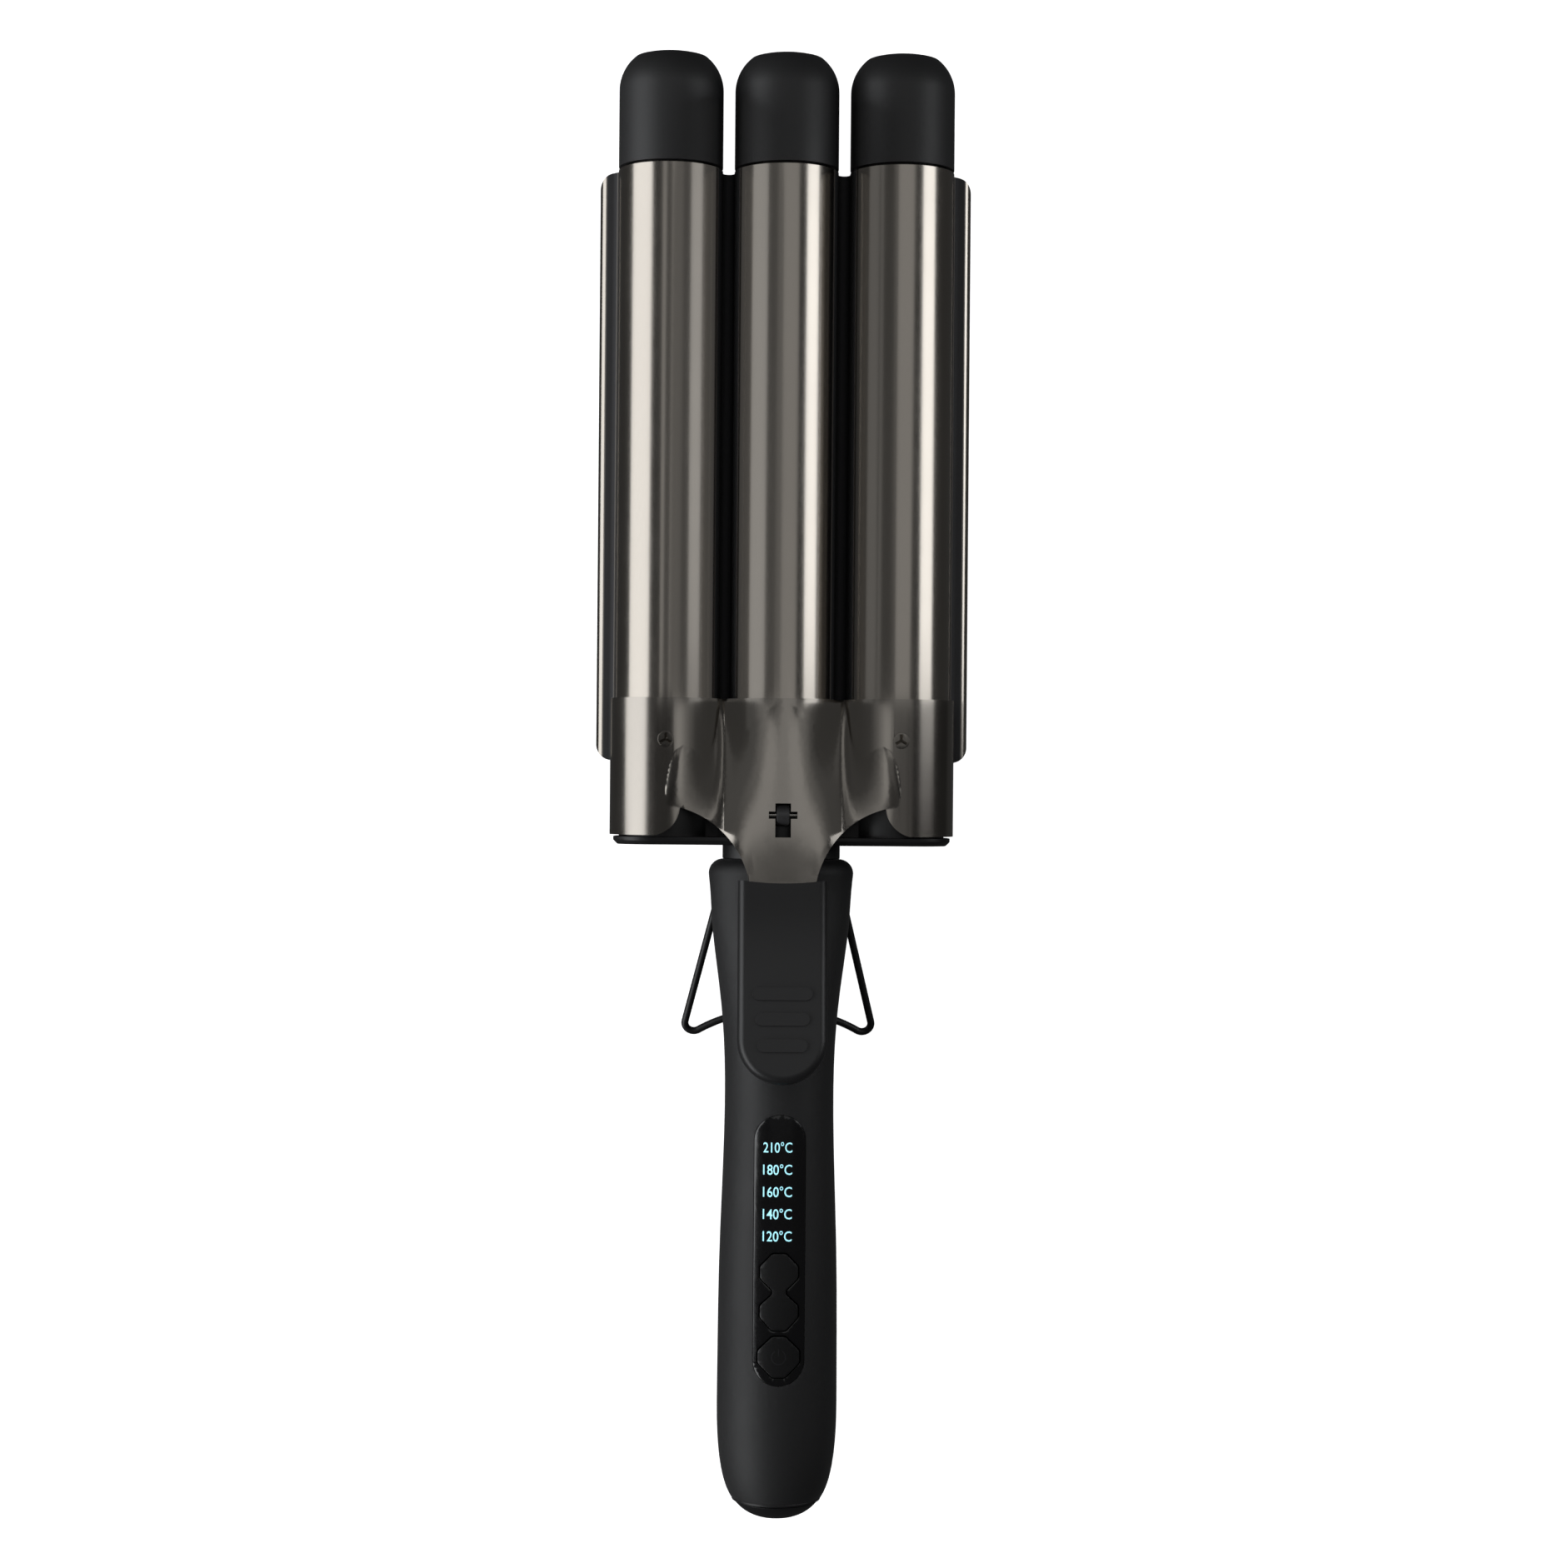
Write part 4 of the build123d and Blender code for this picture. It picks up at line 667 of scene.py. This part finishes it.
# ---------------------------------------------------------------- screws
@dataclass(frozen=True)
class Screw:
    """A flat screw head with a recess for its driver.

    Attributes:
        radius: Radius of the head in mm.
        thickness: Thickness of the head in mm.
        arms: Number of arms of the recess.
        arm_length: Reach of an arm in mm.
        arm_width: Width of an arm in mm.
        arm_depth: Depth of the recess in mm.
        edge: Width of the head's rounded edge in mm.
        arm_lean: Degrees by which an arm's floor leans to one side.
    """

    radius: float
    thickness: float
    arms: int
    arm_length: float
    arm_width: float
    arm_depth: float
    edge: float
    arm_lean: float = 0.0

    def cut_arm(self, head: bpy.types.Object, arm: int) -> None:
        """Cuts one arm of the recess.

        Args:
            head: The head, with its outer face up at the origin.
            arm: Which arm it is.
        """
        turn = math.tau * arm / self.arms + math.pi / 2
        reach = Vector((math.cos(turn), math.sin(turn), 0)) * self.arm_length * MM / 2
        bpy.ops.mesh.primitive_cube_add(
            size=1, location=reach, rotation=(math.radians(self.arm_lean), 0, turn)
        )
        bar = bpy.context.object
        bar.scale = (self.arm_length * MM, self.arm_width * MM, 2 * self.arm_depth * MM)
        settle(bar)
        apply_modifier(
            head, "BOOLEAN", {"operation": "DIFFERENCE", "object": bar, "solver": "EXACT"}
        )
        bpy.data.objects.remove(bar)

    def build(self) -> bpy.types.Object:
        """Makes one head.

        Returns:
            The head as a mesh object, with its outer face up at the origin.
        """
        deselect()
        bpy.ops.mesh.primitive_cylinder_add(
            vertices=ROUND_SIDES,
            radius=self.radius * MM,
            depth=self.thickness * MM,
            location=(0, 0, -self.thickness * MM / 2),
        )
        head = bpy.context.object
        settle(head)
        round_edges(head, self.edge, steps=3)
        for arm in range(self.arms):
            self.cut_arm(head, arm)
        smooth(head)
        return head

    def stand(self, node: str, side: Side) -> list[bpy.types.Object]:
        """Stands a head on each of a CAD node's two screws, which lie side by side.

        Args:
            node: The CAD node.
            side: The way that the heads face.

        Returns:
            The two heads, each with its own mesh.
        """
        low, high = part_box(node)
        inset = (high.y - low.y) / 2
        level = high.z if side is Side.FRONT else low.z
        first = self.build()
        second = first.copy()
        second.data = first.data.copy()
        bpy.context.scene.collection.objects.link(second)
        for head, x in ((first, low.x + inset), (second, high.x - inset)):
            head.location = (x, low.y + inset, level)
            head.rotation_euler = (0, math.radians(side.value), 0)
        return [first, second]


TRI_WING = Screw(
    radius=1.9,
    thickness=0.95,
    arms=3,
    arm_length=1.5,
    arm_width=0.55,
    arm_depth=0.6,
    edge=0.06,
    arm_lean=32.0,
)
CROSS_HEAD = Screw(
    radius=2.1,
    thickness=1.3,
    arms=4,
    arm_length=1.15,
    arm_width=0.5,
    arm_depth=0.7,
    edge=0.2,
)


# ---------------------------------------------------------------- sub-assemblies
@dataclass
class BarrelSet:
    """Three heated barrels with their caps and what is inside them.

    Attributes:
        sides: The barrels' names.
        cap_edge: Width of the rounding of a cap's edges in mm.
    """

    sides: tuple[str, ...] = ("left", "middle", "right")
    cap_edge: float = 0.25

    def dress(self) -> None:
        """Dresses the tubes and the inner pieces, and rounds the caps' open edges."""
        for side in self.sides:
            dress(f"barrel_{side}", CERAMIC_COATING)
            dress(f"heater_strip_{side}", ALUMINA)
            dress(f"heat_spreader_{side}", EXTRUDED)
            cap = f"moulded_cap_{side}"
            soften(f"tip_cap_{side}", cap, "handset", CAP_NYLON, "cap_black", self.cap_edge)
        dress("thermistor", GLASS_BEAD)


@dataclass
class Clamp:
    """The corrugated plate, its yoke, the hinge pin and the thumb lever.

    Attributes:
        sheet_edge: Width of the rounding of the plate's edges in mm.
        yoke_edge: Width of the rounding of the yoke's edges in mm.
        lever_edge: Width of the rounding of the lever's edges in mm.
        spring_keep: Share of the spring's length that is left when the clamp is open; not used.
    """

    sheet_edge: float = 0.22
    yoke_edge: float = 0.3
    lever_edge: float = 0.16
    spring_keep: float = 0.59

    def add_spring(self) -> None:
        """Stands a copy of the coil spring in, with a mesh of its own."""
        spring = copy_node("lever_spring", "coil_spring")
        smooth(spring)
        finish_piece(spring, "coil_spring", "handset", BRIGHT_STEEL, "bright_steel", "lever_spring")
        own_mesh(spring)

    def dress(self) -> None:
        """Builds and dresses the clamp."""
        for node, name, finish, slot, edge in (
            ("clamp_plate", "corrugated_plate", PLATED_SHEET, "polished_gunmetal", self.sheet_edge),
            ("clamp_yoke", "stamped_yoke", PLATED_YOKE, "polished_gunmetal", self.yoke_edge),
            ("thumb_lever", "moulded_lever", LEVER_ABS, "lever_black", self.lever_edge),
        ):
            soften(node, name, "clamp", finish, slot, edge)
        for number, head in enumerate(TRI_WING.stand("clamp_screws", Side.FRONT), 1):
            name = f"clamp_screw_{number}"
            finish_piece(head, name, "clamp", PLATED_YOKE, "dark_screw_steel", "clamp_screws")
        self.add_spring()
        for node in ("hinge_pin", "lever_rivets"):
            dress(node, BRIGHT_STEEL)


@dataclass
class RootHousing:
    """The two-part housing round the barrels' roots, with the knuckle and the neck.

    Attributes:
        edge: Width of the rounding of its edges in mm.
    """

    edge: float = 0.3

    def dress(self) -> None:
        """Rounds and dresses the housing."""
        for node, name, finish in (
            ("root_housing_front", "housing_front_shell", HOUSING_NYLON),
            ("root_housing_back", "housing_back_shell", HOUSING_NYLON),
            ("hinge_knuckle", "moulded_knuckle", KNUCKLE_NYLON),
            ("neck", "moulded_neck", HOUSING_NYLON),
        ):
            soften(node, name, "handset", finish, "housing_black", self.edge)
        dress("junction_board", PHENOLIC)
        dress("thermal_fuse", BRIGHT_STEEL)
        for number, head in enumerate(CROSS_HEAD.stand("housing_screws", Side.BACK), 1):
            name = f"housing_screw_{number}"
            finish_piece(head, name, "handset", BLACK_STEEL, "dark_screw_steel", "housing_screws")


@dataclass
class Handle:
    """The two grip shells, their screws and the turning cord inlet.

    Attributes:
        edge: Width of the rounding of its edges in mm.
    """

    edge: float = 0.2

    def dress(self) -> None:
        """Rounds and dresses the grip and its butt."""
        for side in ("front", "back"):
            name = f"grip_{side}_shell"
            soften(f"handle_{side}", name, "handset", SOFT_TOUCH, "soft_touch_black", self.edge)
        soften("end_ring", "moulded_end_ring", "handset", HOUSING_NYLON, "ring_black", self.edge)
        soften("cord_swivel", "moulded_swivel", "swivel", HOUSING_NYLON, "ring_black", self.edge)
        dress("handle_screws", BLACK_STEEL)
        dress("swivel_clip", BRIGHT_STEEL)
        dress("slip_ring_board", PHENOLIC)
        dress("heater_leads", SILICONE)
        dress("supply_leads", SILICONE)


@dataclass
class ControlPanel:
    """The smoked lens with lit figures, the rocker and the power button.

    Attributes:
        figures: What the lit figures read, from the tips' end.
        figure_height: Height of a figure in mm.
        figure_width: Width of a figure in mm.
        figure_pitch: Distance from one figure to the next in mm.
        figure_margin: Distance from the lens's upper end to the first figure's middle in mm.
        figure_shift: How far right of the lens's middle the figures stand, in mm.
        figure_weight: How far a figure's outline is widened, as a share of its size.
        figure_steps: Straight pieces in each curve of a figure.
        lift: Height of a print above its face in mm.
        lens_edge: Width of the rounding of the lens's edges in mm.
        button_edge: Width of the rounding of the buttons' edges in mm.
        sign_radius: Inner radius of the power sign's ring in mm.
        sign_line: Width of its line in mm.
        sign_gap: Half the ring's gap, as a share of its radius.
        sign_bar_rise: Height of the bar's middle, as a share of the radius.
        sign_bar_length: Length of the bar, as a share of the radius.
    """

    figures: tuple[str, ...] = ("210°C", "180°C", "160°C", "140°C", "120°C")
    figure_height: float = 2.55
    figure_width: float = 6.9
    figure_pitch: float = 5.27
    figure_margin: float = 7.6
    figure_shift: float = -0.55
    figure_weight: float = 0.004
    figure_steps: int = 4
    lift: float = 0.08
    lens_edge: float = 0.05
    button_edge: float = 0.15
    sign_radius: float = 1.55
    sign_line: float = 0.24
    sign_gap: float = 0.4
    sign_bar_rise: float = 0.75
    sign_bar_length: float = 1.1

    def lay_on(self, piece: bpy.types.Object, node: str) -> None:
        """Lays a flat print just above a node's curved face.

        Args:
            piece: The print, flat and above the face.
            node: The CAD node that carries it.
        """
        apply_modifier(
            piece,
            "SHRINKWRAP",
            {
                "target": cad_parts[node],
                "wrap_method": "PROJECT",
                "use_project_z": True,
                "use_negative_direction": True,
                "use_positive_direction": False,
                "offset": self.lift * MM,
            },
        )

    def add_figure(self, text: str, middle: Vector, number: int) -> None:
        """Makes one lit figure.

        Args:
            text: What it reads.
            middle: Its middle, above the lens.
            number: Its place in the row.
        """
        deselect()
        bpy.ops.object.text_add()
        letters = bpy.context.object
        letters.data.body = text
        letters.data.offset = self.figure_weight
        letters.data.resolution_u = self.figure_steps
        bpy.ops.object.convert(target="MESH")
        letters = bpy.context.object
        points = [v.co for v in letters.data.vertices]
        low = Vector((min(p.x for p in points), min(p.y for p in points), 0))
        high = Vector((max(p.x for p in points), max(p.y for p in points), 0))
        letters.scale.x = self.figure_width * MM / (high.x - low.x)
        letters.scale.y = self.figure_height * MM / (high.y - low.y)
        letters.location = middle - (low + high) / 2 * letters.scale
        settle(letters)
        self.lay_on(letters, "display_lens")
        finish_piece(letters, f"lit_figure_{number}", "handset", LIT_PRINT, "display_block")

    def add_power_sign(self) -> None:
        """Makes the open ring and the bar of the power sign on its button."""
        low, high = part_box("power_button")
        middle = Vector(((low.x + high.x) / 2, (low.y + high.y) / 2, high.z + MM))
        deselect()
        bpy.ops.mesh.primitive_circle_add(
            vertices=ROUND_SIDES,
            radius=self.sign_radius * MM,
            fill_type="NOTHING",
            location=middle,
        )
        ring = bpy.context.object
        settle(ring)
        bpy.ops.object.mode_set(mode="EDIT")
        bpy.ops.mesh.select_mode(type="VERT")
        bpy.ops.mesh.select_all(action="DESELECT")
        bpy.ops.object.mode_set(mode="OBJECT")
        gap = self.sign_gap * self.sign_radius * MM
        for vertex in ring.data.vertices:
            away = vertex.co - middle
            vertex.select = away.y > 0 and abs(away.x) < gap
        bpy.ops.object.mode_set(mode="EDIT")
        bpy.ops.mesh.delete(type="VERT")
        bpy.ops.mesh.select_all(action="SELECT")
        bpy.ops.mesh.extrude_region_move()
        share = 1 + self.sign_line / self.sign_radius
        bpy.ops.transform.resize(value=(share, share, 1), center_override=middle)
        bpy.ops.object.mode_set(mode="OBJECT")
        rise = Vector((0, self.sign_bar_rise * self.sign_radius * MM, 0))
        bpy.ops.mesh.primitive_plane_add(size=1, location=middle + rise)
        bar = bpy.context.object
        bar.scale = (self.sign_line * MM, self.sign_bar_length * self.sign_radius * MM, 1)
        settle(bar)
        ring.select_set(True)
        bpy.context.view_layer.objects.active = ring
        bpy.ops.object.join()
        self.lay_on(ring, "power_button")
        finish_piece(ring, "power_sign", "power", GREY_PRINT, "button_black")

    def dress(self) -> None:
        """Builds and dresses the panel."""
        soften(
            "display_lens", "smoked_lens", "handset", SMOKED_ACRYLIC, "gloss_black", self.lens_edge
        )
        for node, body in (("temperature_rocker", "rocker"), ("power_button", "power")):
            soften(node, f"{body}_cap", body, BUTTON_ABS, "button_black", self.button_edge)
        low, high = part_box("display_lens")
        x = (low.x + high.x) / 2 + self.figure_shift * MM
        y = high.y - self.figure_margin * MM
        for number, text in enumerate(self.figures, 1):
            self.add_figure(text, Vector((x, y, high.z + MM)), number)
            y -= self.figure_pitch * MM
        self.add_power_sign()
        for node, finish in (
            ("pcb", SOLDER_MASK),
            ("tact_switches", SWITCH_PBT),
            ("lead_terminals", SWITCH_PBT),
            ("rocker_brackets", SWITCH_PBT),
            ("led_display", LIGHT_GUIDE),
        ):
            dress(node, finish)


@dataclass
class WireStand:
    """The folding wire stand and its bushings."""

    def dress(self) -> None:
        """Dresses the wire and the bushings."""
        dress("wire_stand", COATED_WIRE)
        dress("stand_bushings", HOUSING_NYLON)


# ---------------------------------------------------------------- studio
@dataclass(frozen=True)
class SoftBox:
    """A long soft light.

    Attributes:
        name: What it is called.
        angle: Degrees from straight up, positive to the right.
        distance: Distance from the barrels' plane in metres.
        width: Width across in metres.
        start: Where it starts along the object, in metres.
        end: Where it ends along the object, in metres.
        radiance: Brightness of its face.
        colour: sRGB colour.
    """

    name: str
    angle: float
    distance: float
    width: float
    start: float
    end: float
    radiance: float
    colour: str = "#ffffff"

    def add(self, target: Vector) -> None:
        """Adds the light, aimed across at a point.

        Args:
            target: The point in metres.
        """
        data = bpy.data.lights.new(self.name, "AREA")
        data.shape = "RECTANGLE"
        data.size = self.width
        data.size_y = self.end - self.start
        data.energy = self.radiance * math.pi * data.size * data.size_y
        data.color = linear(self.colour)[:3]
        lamp = bpy.data.objects.new(self.name, data)
        bpy.context.scene.collection.objects.link(lamp)
        turn = math.radians(self.angle)
        lamp.location = target + Vector((math.sin(turn), 0, math.cos(turn))) * self.distance
        lamp.location.y = (self.start + self.end) / 2
        lamp.rotation_euler = (0, turn, 0)


@dataclass(frozen=True)
class Card:
    """A thin card near the waver that dims the lights for what lies beyond it.

    Attributes:
        name: What it is called.
        lie: How it stands.
        low: Its lowest corner from the frame's origin and the barrels' axes, in mm.
        high: Its highest corner, in mm.
        clear: Share of the light that passes through it.
        glow: Brightness of its face below and above the fade.
        fade: Heights above the barrels' axes where the brightness starts and ends to rise, in mm.
        one_sided: Whether light that meets its left face passes freely.
    """

    name: str
    lie: Lie
    low: tuple[float, float, float]
    high: tuple[float, float, float]
    clear: float
    glow: tuple[float, float]
    fade: tuple[float, float] = (0.0, 1.0)
    one_sided: bool = False

    def tracing(self, axis_height: float) -> bpy.types.Material:
        """Makes the card's paper.

        Args:
            axis_height: Height of the barrels' axes in mm.

        Returns:
            A material that lets a share of the light through.
        """
        material = bpy.data.materials.new(f"{self.name}_paper")
        material.use_nodes = True
        tree = material.node_tree
        tree.nodes.clear()
        back = add_node(tree, "ShaderNodeNewGeometry").outputs["Backfacing"]
        free = add_node(
            tree, "ShaderNodeMath", {"operation": "MULTIPLY", 1: float(self.one_sided)}, {0: back}
        )
        share = add_node(
            tree, "ShaderNodeMath", {"operation": "MAXIMUM", 1: self.clear}, {0: free.outputs[0]}
        )
        place = add_node(tree, "ShaderNodeTexCoord").outputs["Object"]
        split = add_node(tree, "ShaderNodeSeparateXYZ", links={0: place})
        level = add_node(
            tree,
            "ShaderNodeMapRange",
            {
                "From Min": (axis_height + self.fade[0]) * MM,
                "From Max": (axis_height + self.fade[1]) * MM,
                "To Min": self.glow[0],
                "To Max": self.glow[1],
            },
            {"Value": split.outputs["Z"]},
        )
        face = add_node(tree, "ShaderNodeEmission", links={"Strength": level.outputs["Result"]})
        hole = add_node(tree, "ShaderNodeBsdfTransparent")
        paper = add_node(
            tree,
            "ShaderNodeMixShader",
            links={0: share.outputs[0], 1: face.outputs["Emission"], 2: hole.outputs["BSDF"]},
        )
        add_node(tree, "ShaderNodeOutputMaterial", links={"Surface": paper.outputs["Shader"]})
        return material

    def add(self, axis_height: float) -> None:
        """Hangs the card over the waver.

        Args:
            axis_height: Height of the barrels' axes in mm.
        """
        low, high = Vector(self.low), Vector(self.high)
        size = high - low
        width = size.z if self.lie is Lie.UPRIGHT else size.x
        deselect()
        bpy.ops.mesh.primitive_plane_add(size=1, rotation=(0, math.radians(self.lie.value), 0))
        card = bpy.context.object
        card.scale = (width * MM, size.y * MM, 1)
        card.location = ((low + high) / 2 + Vector((0, 0, axis_height))) * MM
        settle(card)
        card.name = self.name
        card.data.materials.append(self.tracing(axis_height))
        card.visible_camera = False
        card.visible_diffuse = False


DAYLIGHT = "#fbfdff"  # a little cooler than the light overhead
LIGHTS = (
    SoftBox("overhead_box", 4, distance=1.1, width=0.96, start=-0.09, end=0.75, radiance=0.4),
    SoftBox("left_box", -66, 0.6, 0.54, -0.05, 0.45, 2.05, DAYLIGHT),
    SoftBox("handle_box", -63, 0.7, 0.42, -0.8, -0.06, 3.0, DAYLIGHT),
    SoftBox("right_box", 60, 0.75, 0.4, 0.03, 0.38, 2.6, DAYLIGHT),
)
CARDS = (
    # Beside the plate's middle bulge: each dims the light that crosses it.
    Card("left_card", Lie.UPRIGHT, (-14, 20, 4.5), (-14, 165, 130), 0.25, (0.16, 0.16)),
    Card(
        "right_card", Lie.UPRIGHT, (14, 20, 4.5), (14, 165, 72), 0.3, (0.08, 0.08), one_sided=True
    ),
    # Beside the yoke's middle fold, brighter towards the top.
    Card("yoke_card_left", Lie.UPRIGHT, (-14, -11, 3), (-14, 20, 90), 0.04, (0.08, 0.55), (15, 32)),
    Card("yoke_card_right", Lie.UPRIGHT, (14, -11, 3), (14, 20, 90), 0.04, (0.08, 0.55), (15, 32)),
    # Over the yoke's lobes, the left bulge's crest and the tongue.
    Card("lobe_card_left", Lie.FLAT, (-46, -20, 50), (-16, 21, 50), 0.08, (0.02, 0.02)),
    Card("lobe_card_right", Lie.FLAT, (16, -20, 50), (46, 21, 50), 0.3, (0.06, 0.06)),
    Card("crest_card_left", Lie.FLAT, (-34, 21, 50), (-25, 165, 50), 0.25, (0.03, 0.03)),
    Card("tongue_card", Lie.FLAT, (-14, -22, 50), (14, -8, 50), 0.3, (0.03, 0.03)),
    # To the right of the yoke.
    Card("side_card_right", Lie.UPRIGHT, (52, -20, 0), (52, 21, 90), 0.55, (0.0, 0.0)),
)


@dataclass
class Studio:
    """Light table, pale dome, soft lights, shading cards and camera.

    Attributes:
        camera_distance: Height of the camera above the barrels' axes, in mm.
        camera_shift_x: How far right of the middle it stands, in mm.
        aim_x: Where it aims across, in mm.
        aim_y: Where it aims along, in mm.
        view_angle: Its angle of view in degrees.
        roll: Its turn about its own axis in degrees.
        room: Brightness of the room.
        camera_near: Nearest distance that the camera sees, in metres.
        dome_radius: Radius of the dome in metres.
        dome_sides: Sides of the dome.
        dome_drop: Depth of the dome's rim below the waver's lowest point, in mm.
        table_size: Width of the table in metres.
        table_drop: Depth of the table's face below the waver's lowest point, in mm.
        cards: The shading cards.
        lights: The soft lights.
    """

    camera_distance: float = 736.0
    camera_shift_x: float = -20.0
    aim_x: float = 0.55
    aim_y: float = 0.2
    view_angle: float = 28.9
    roll: float = 0.477
    room: float = 0.05
    camera_near: float = 0.01
    dome_radius: float = 2.9
    dome_sides: int = 64
    dome_drop: float = 0.06
    table_size: float = 6.0
    table_drop: float = 0.05
    cards: tuple[Card, ...] = CARDS
    lights: tuple[SoftBox, ...] = LIGHTS

    def add_table(self) -> None:
        """Adds the pale light table that the waver lies on, which shows in no reflection."""
        deselect()
        level = (0, 0, -self.table_drop * MM)
        bpy.ops.mesh.primitive_plane_add(size=self.table_size, location=level)
        table = bpy.context.object
        settle(table)
        table.name = "light_table"
        table.data.materials.append(SHELF.get(TABLE_GLASS))
        table.visible_glossy = False
        table.visible_diffuse = False

    def add_dome(self) -> None:
        """Closes the table with a pale dome, which lights nothing and shows in no reflection."""
        deselect()
        bpy.ops.mesh.primitive_uv_sphere_add(
            segments=self.dome_sides, ring_count=self.dome_sides // 2, radius=self.dome_radius
        )
        dome = bpy.context.object
        settle(dome)
        open_mesh()
        rim = (0, 0, -self.dome_drop * MM)
        bpy.ops.mesh.bisect(plane_co=rim, plane_no=(0, 0, 1), clear_inner=True)
        bpy.ops.object.mode_set(mode="OBJECT")
        dome.name = "pale_dome"
        dome.data.materials.append(SHELF.get(TABLE_GLASS))
        dome.visible_glossy = False
        dome.visible_diffuse = False
        dome.visible_shadow = False

    def add_world(self) -> None:
        """Adds the dim, even light of the room."""
        world = bpy.data.worlds.new("room")
        bpy.context.scene.world = world
        world.use_nodes = True
        tree = world.node_tree
        tree.nodes.clear()
        glow = add_node(
            tree, "ShaderNodeBackground", {"Color": linear("#ffffff"), "Strength": self.room}
        )
        add_node(tree, "ShaderNodeOutputWorld", links={"Surface": glow.outputs["Background"]})

    def add_camera(self, axis_height: float) -> None:
        """Adds the camera, straight above the waver and a little to its left.

        Args:
            axis_height: Height of the barrels' axes in mm.
        """
        data = bpy.data.cameras.new("camera")
        camera = bpy.data.objects.new("camera", data)
        bpy.context.scene.collection.objects.link(camera)
        data.sensor_fit = "HORIZONTAL"
        data.angle = math.radians(self.view_angle)
        data.clip_start = self.camera_near
        target = Vector((self.aim_x, self.aim_y, axis_height)) * MM
        place = Vector((self.camera_shift_x, self.aim_y, axis_height + self.camera_distance)) * MM
        back = (place - target).normalized()
        lean = math.radians(self.roll)
        up = Vector((-math.sin(lean), math.cos(lean), 0))
        right = up.cross(back).normalized()
        up = back.cross(right)
        turn = Matrix((right, up, back)).transposed().to_4x4()
        camera.matrix_world = Matrix.Translation(place) @ turn
        bpy.context.scene.camera = camera

    def build(self) -> None:
        """Builds the studio."""
        low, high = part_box("barrel_middle")
        axis_height = (low.z + high.z) / 2 / MM
        self.add_table()
        self.add_dome()
        self.add_world()
        self.add_camera(axis_height)
        for card in self.cards:
            card.add(axis_height)
        for box in self.lights:
            box.add(Vector((0, 0, axis_height * MM)))
        bpy.context.scene.view_settings.view_transform = "Standard"


def main() -> None:
    """Dresses the waver from its tips to its butt and sets up the studio."""
    logging.basicConfig(level=logging.INFO, format="%(name)s: %(message)s")
    for part in (BarrelSet(), Clamp(), RootHousing(), Handle(), ControlPanel(), WireStand()):
        part.dress()
        LOG.info("%s done", type(part).__name__)
    Studio().build()


if __name__ == "__main__":
    main()
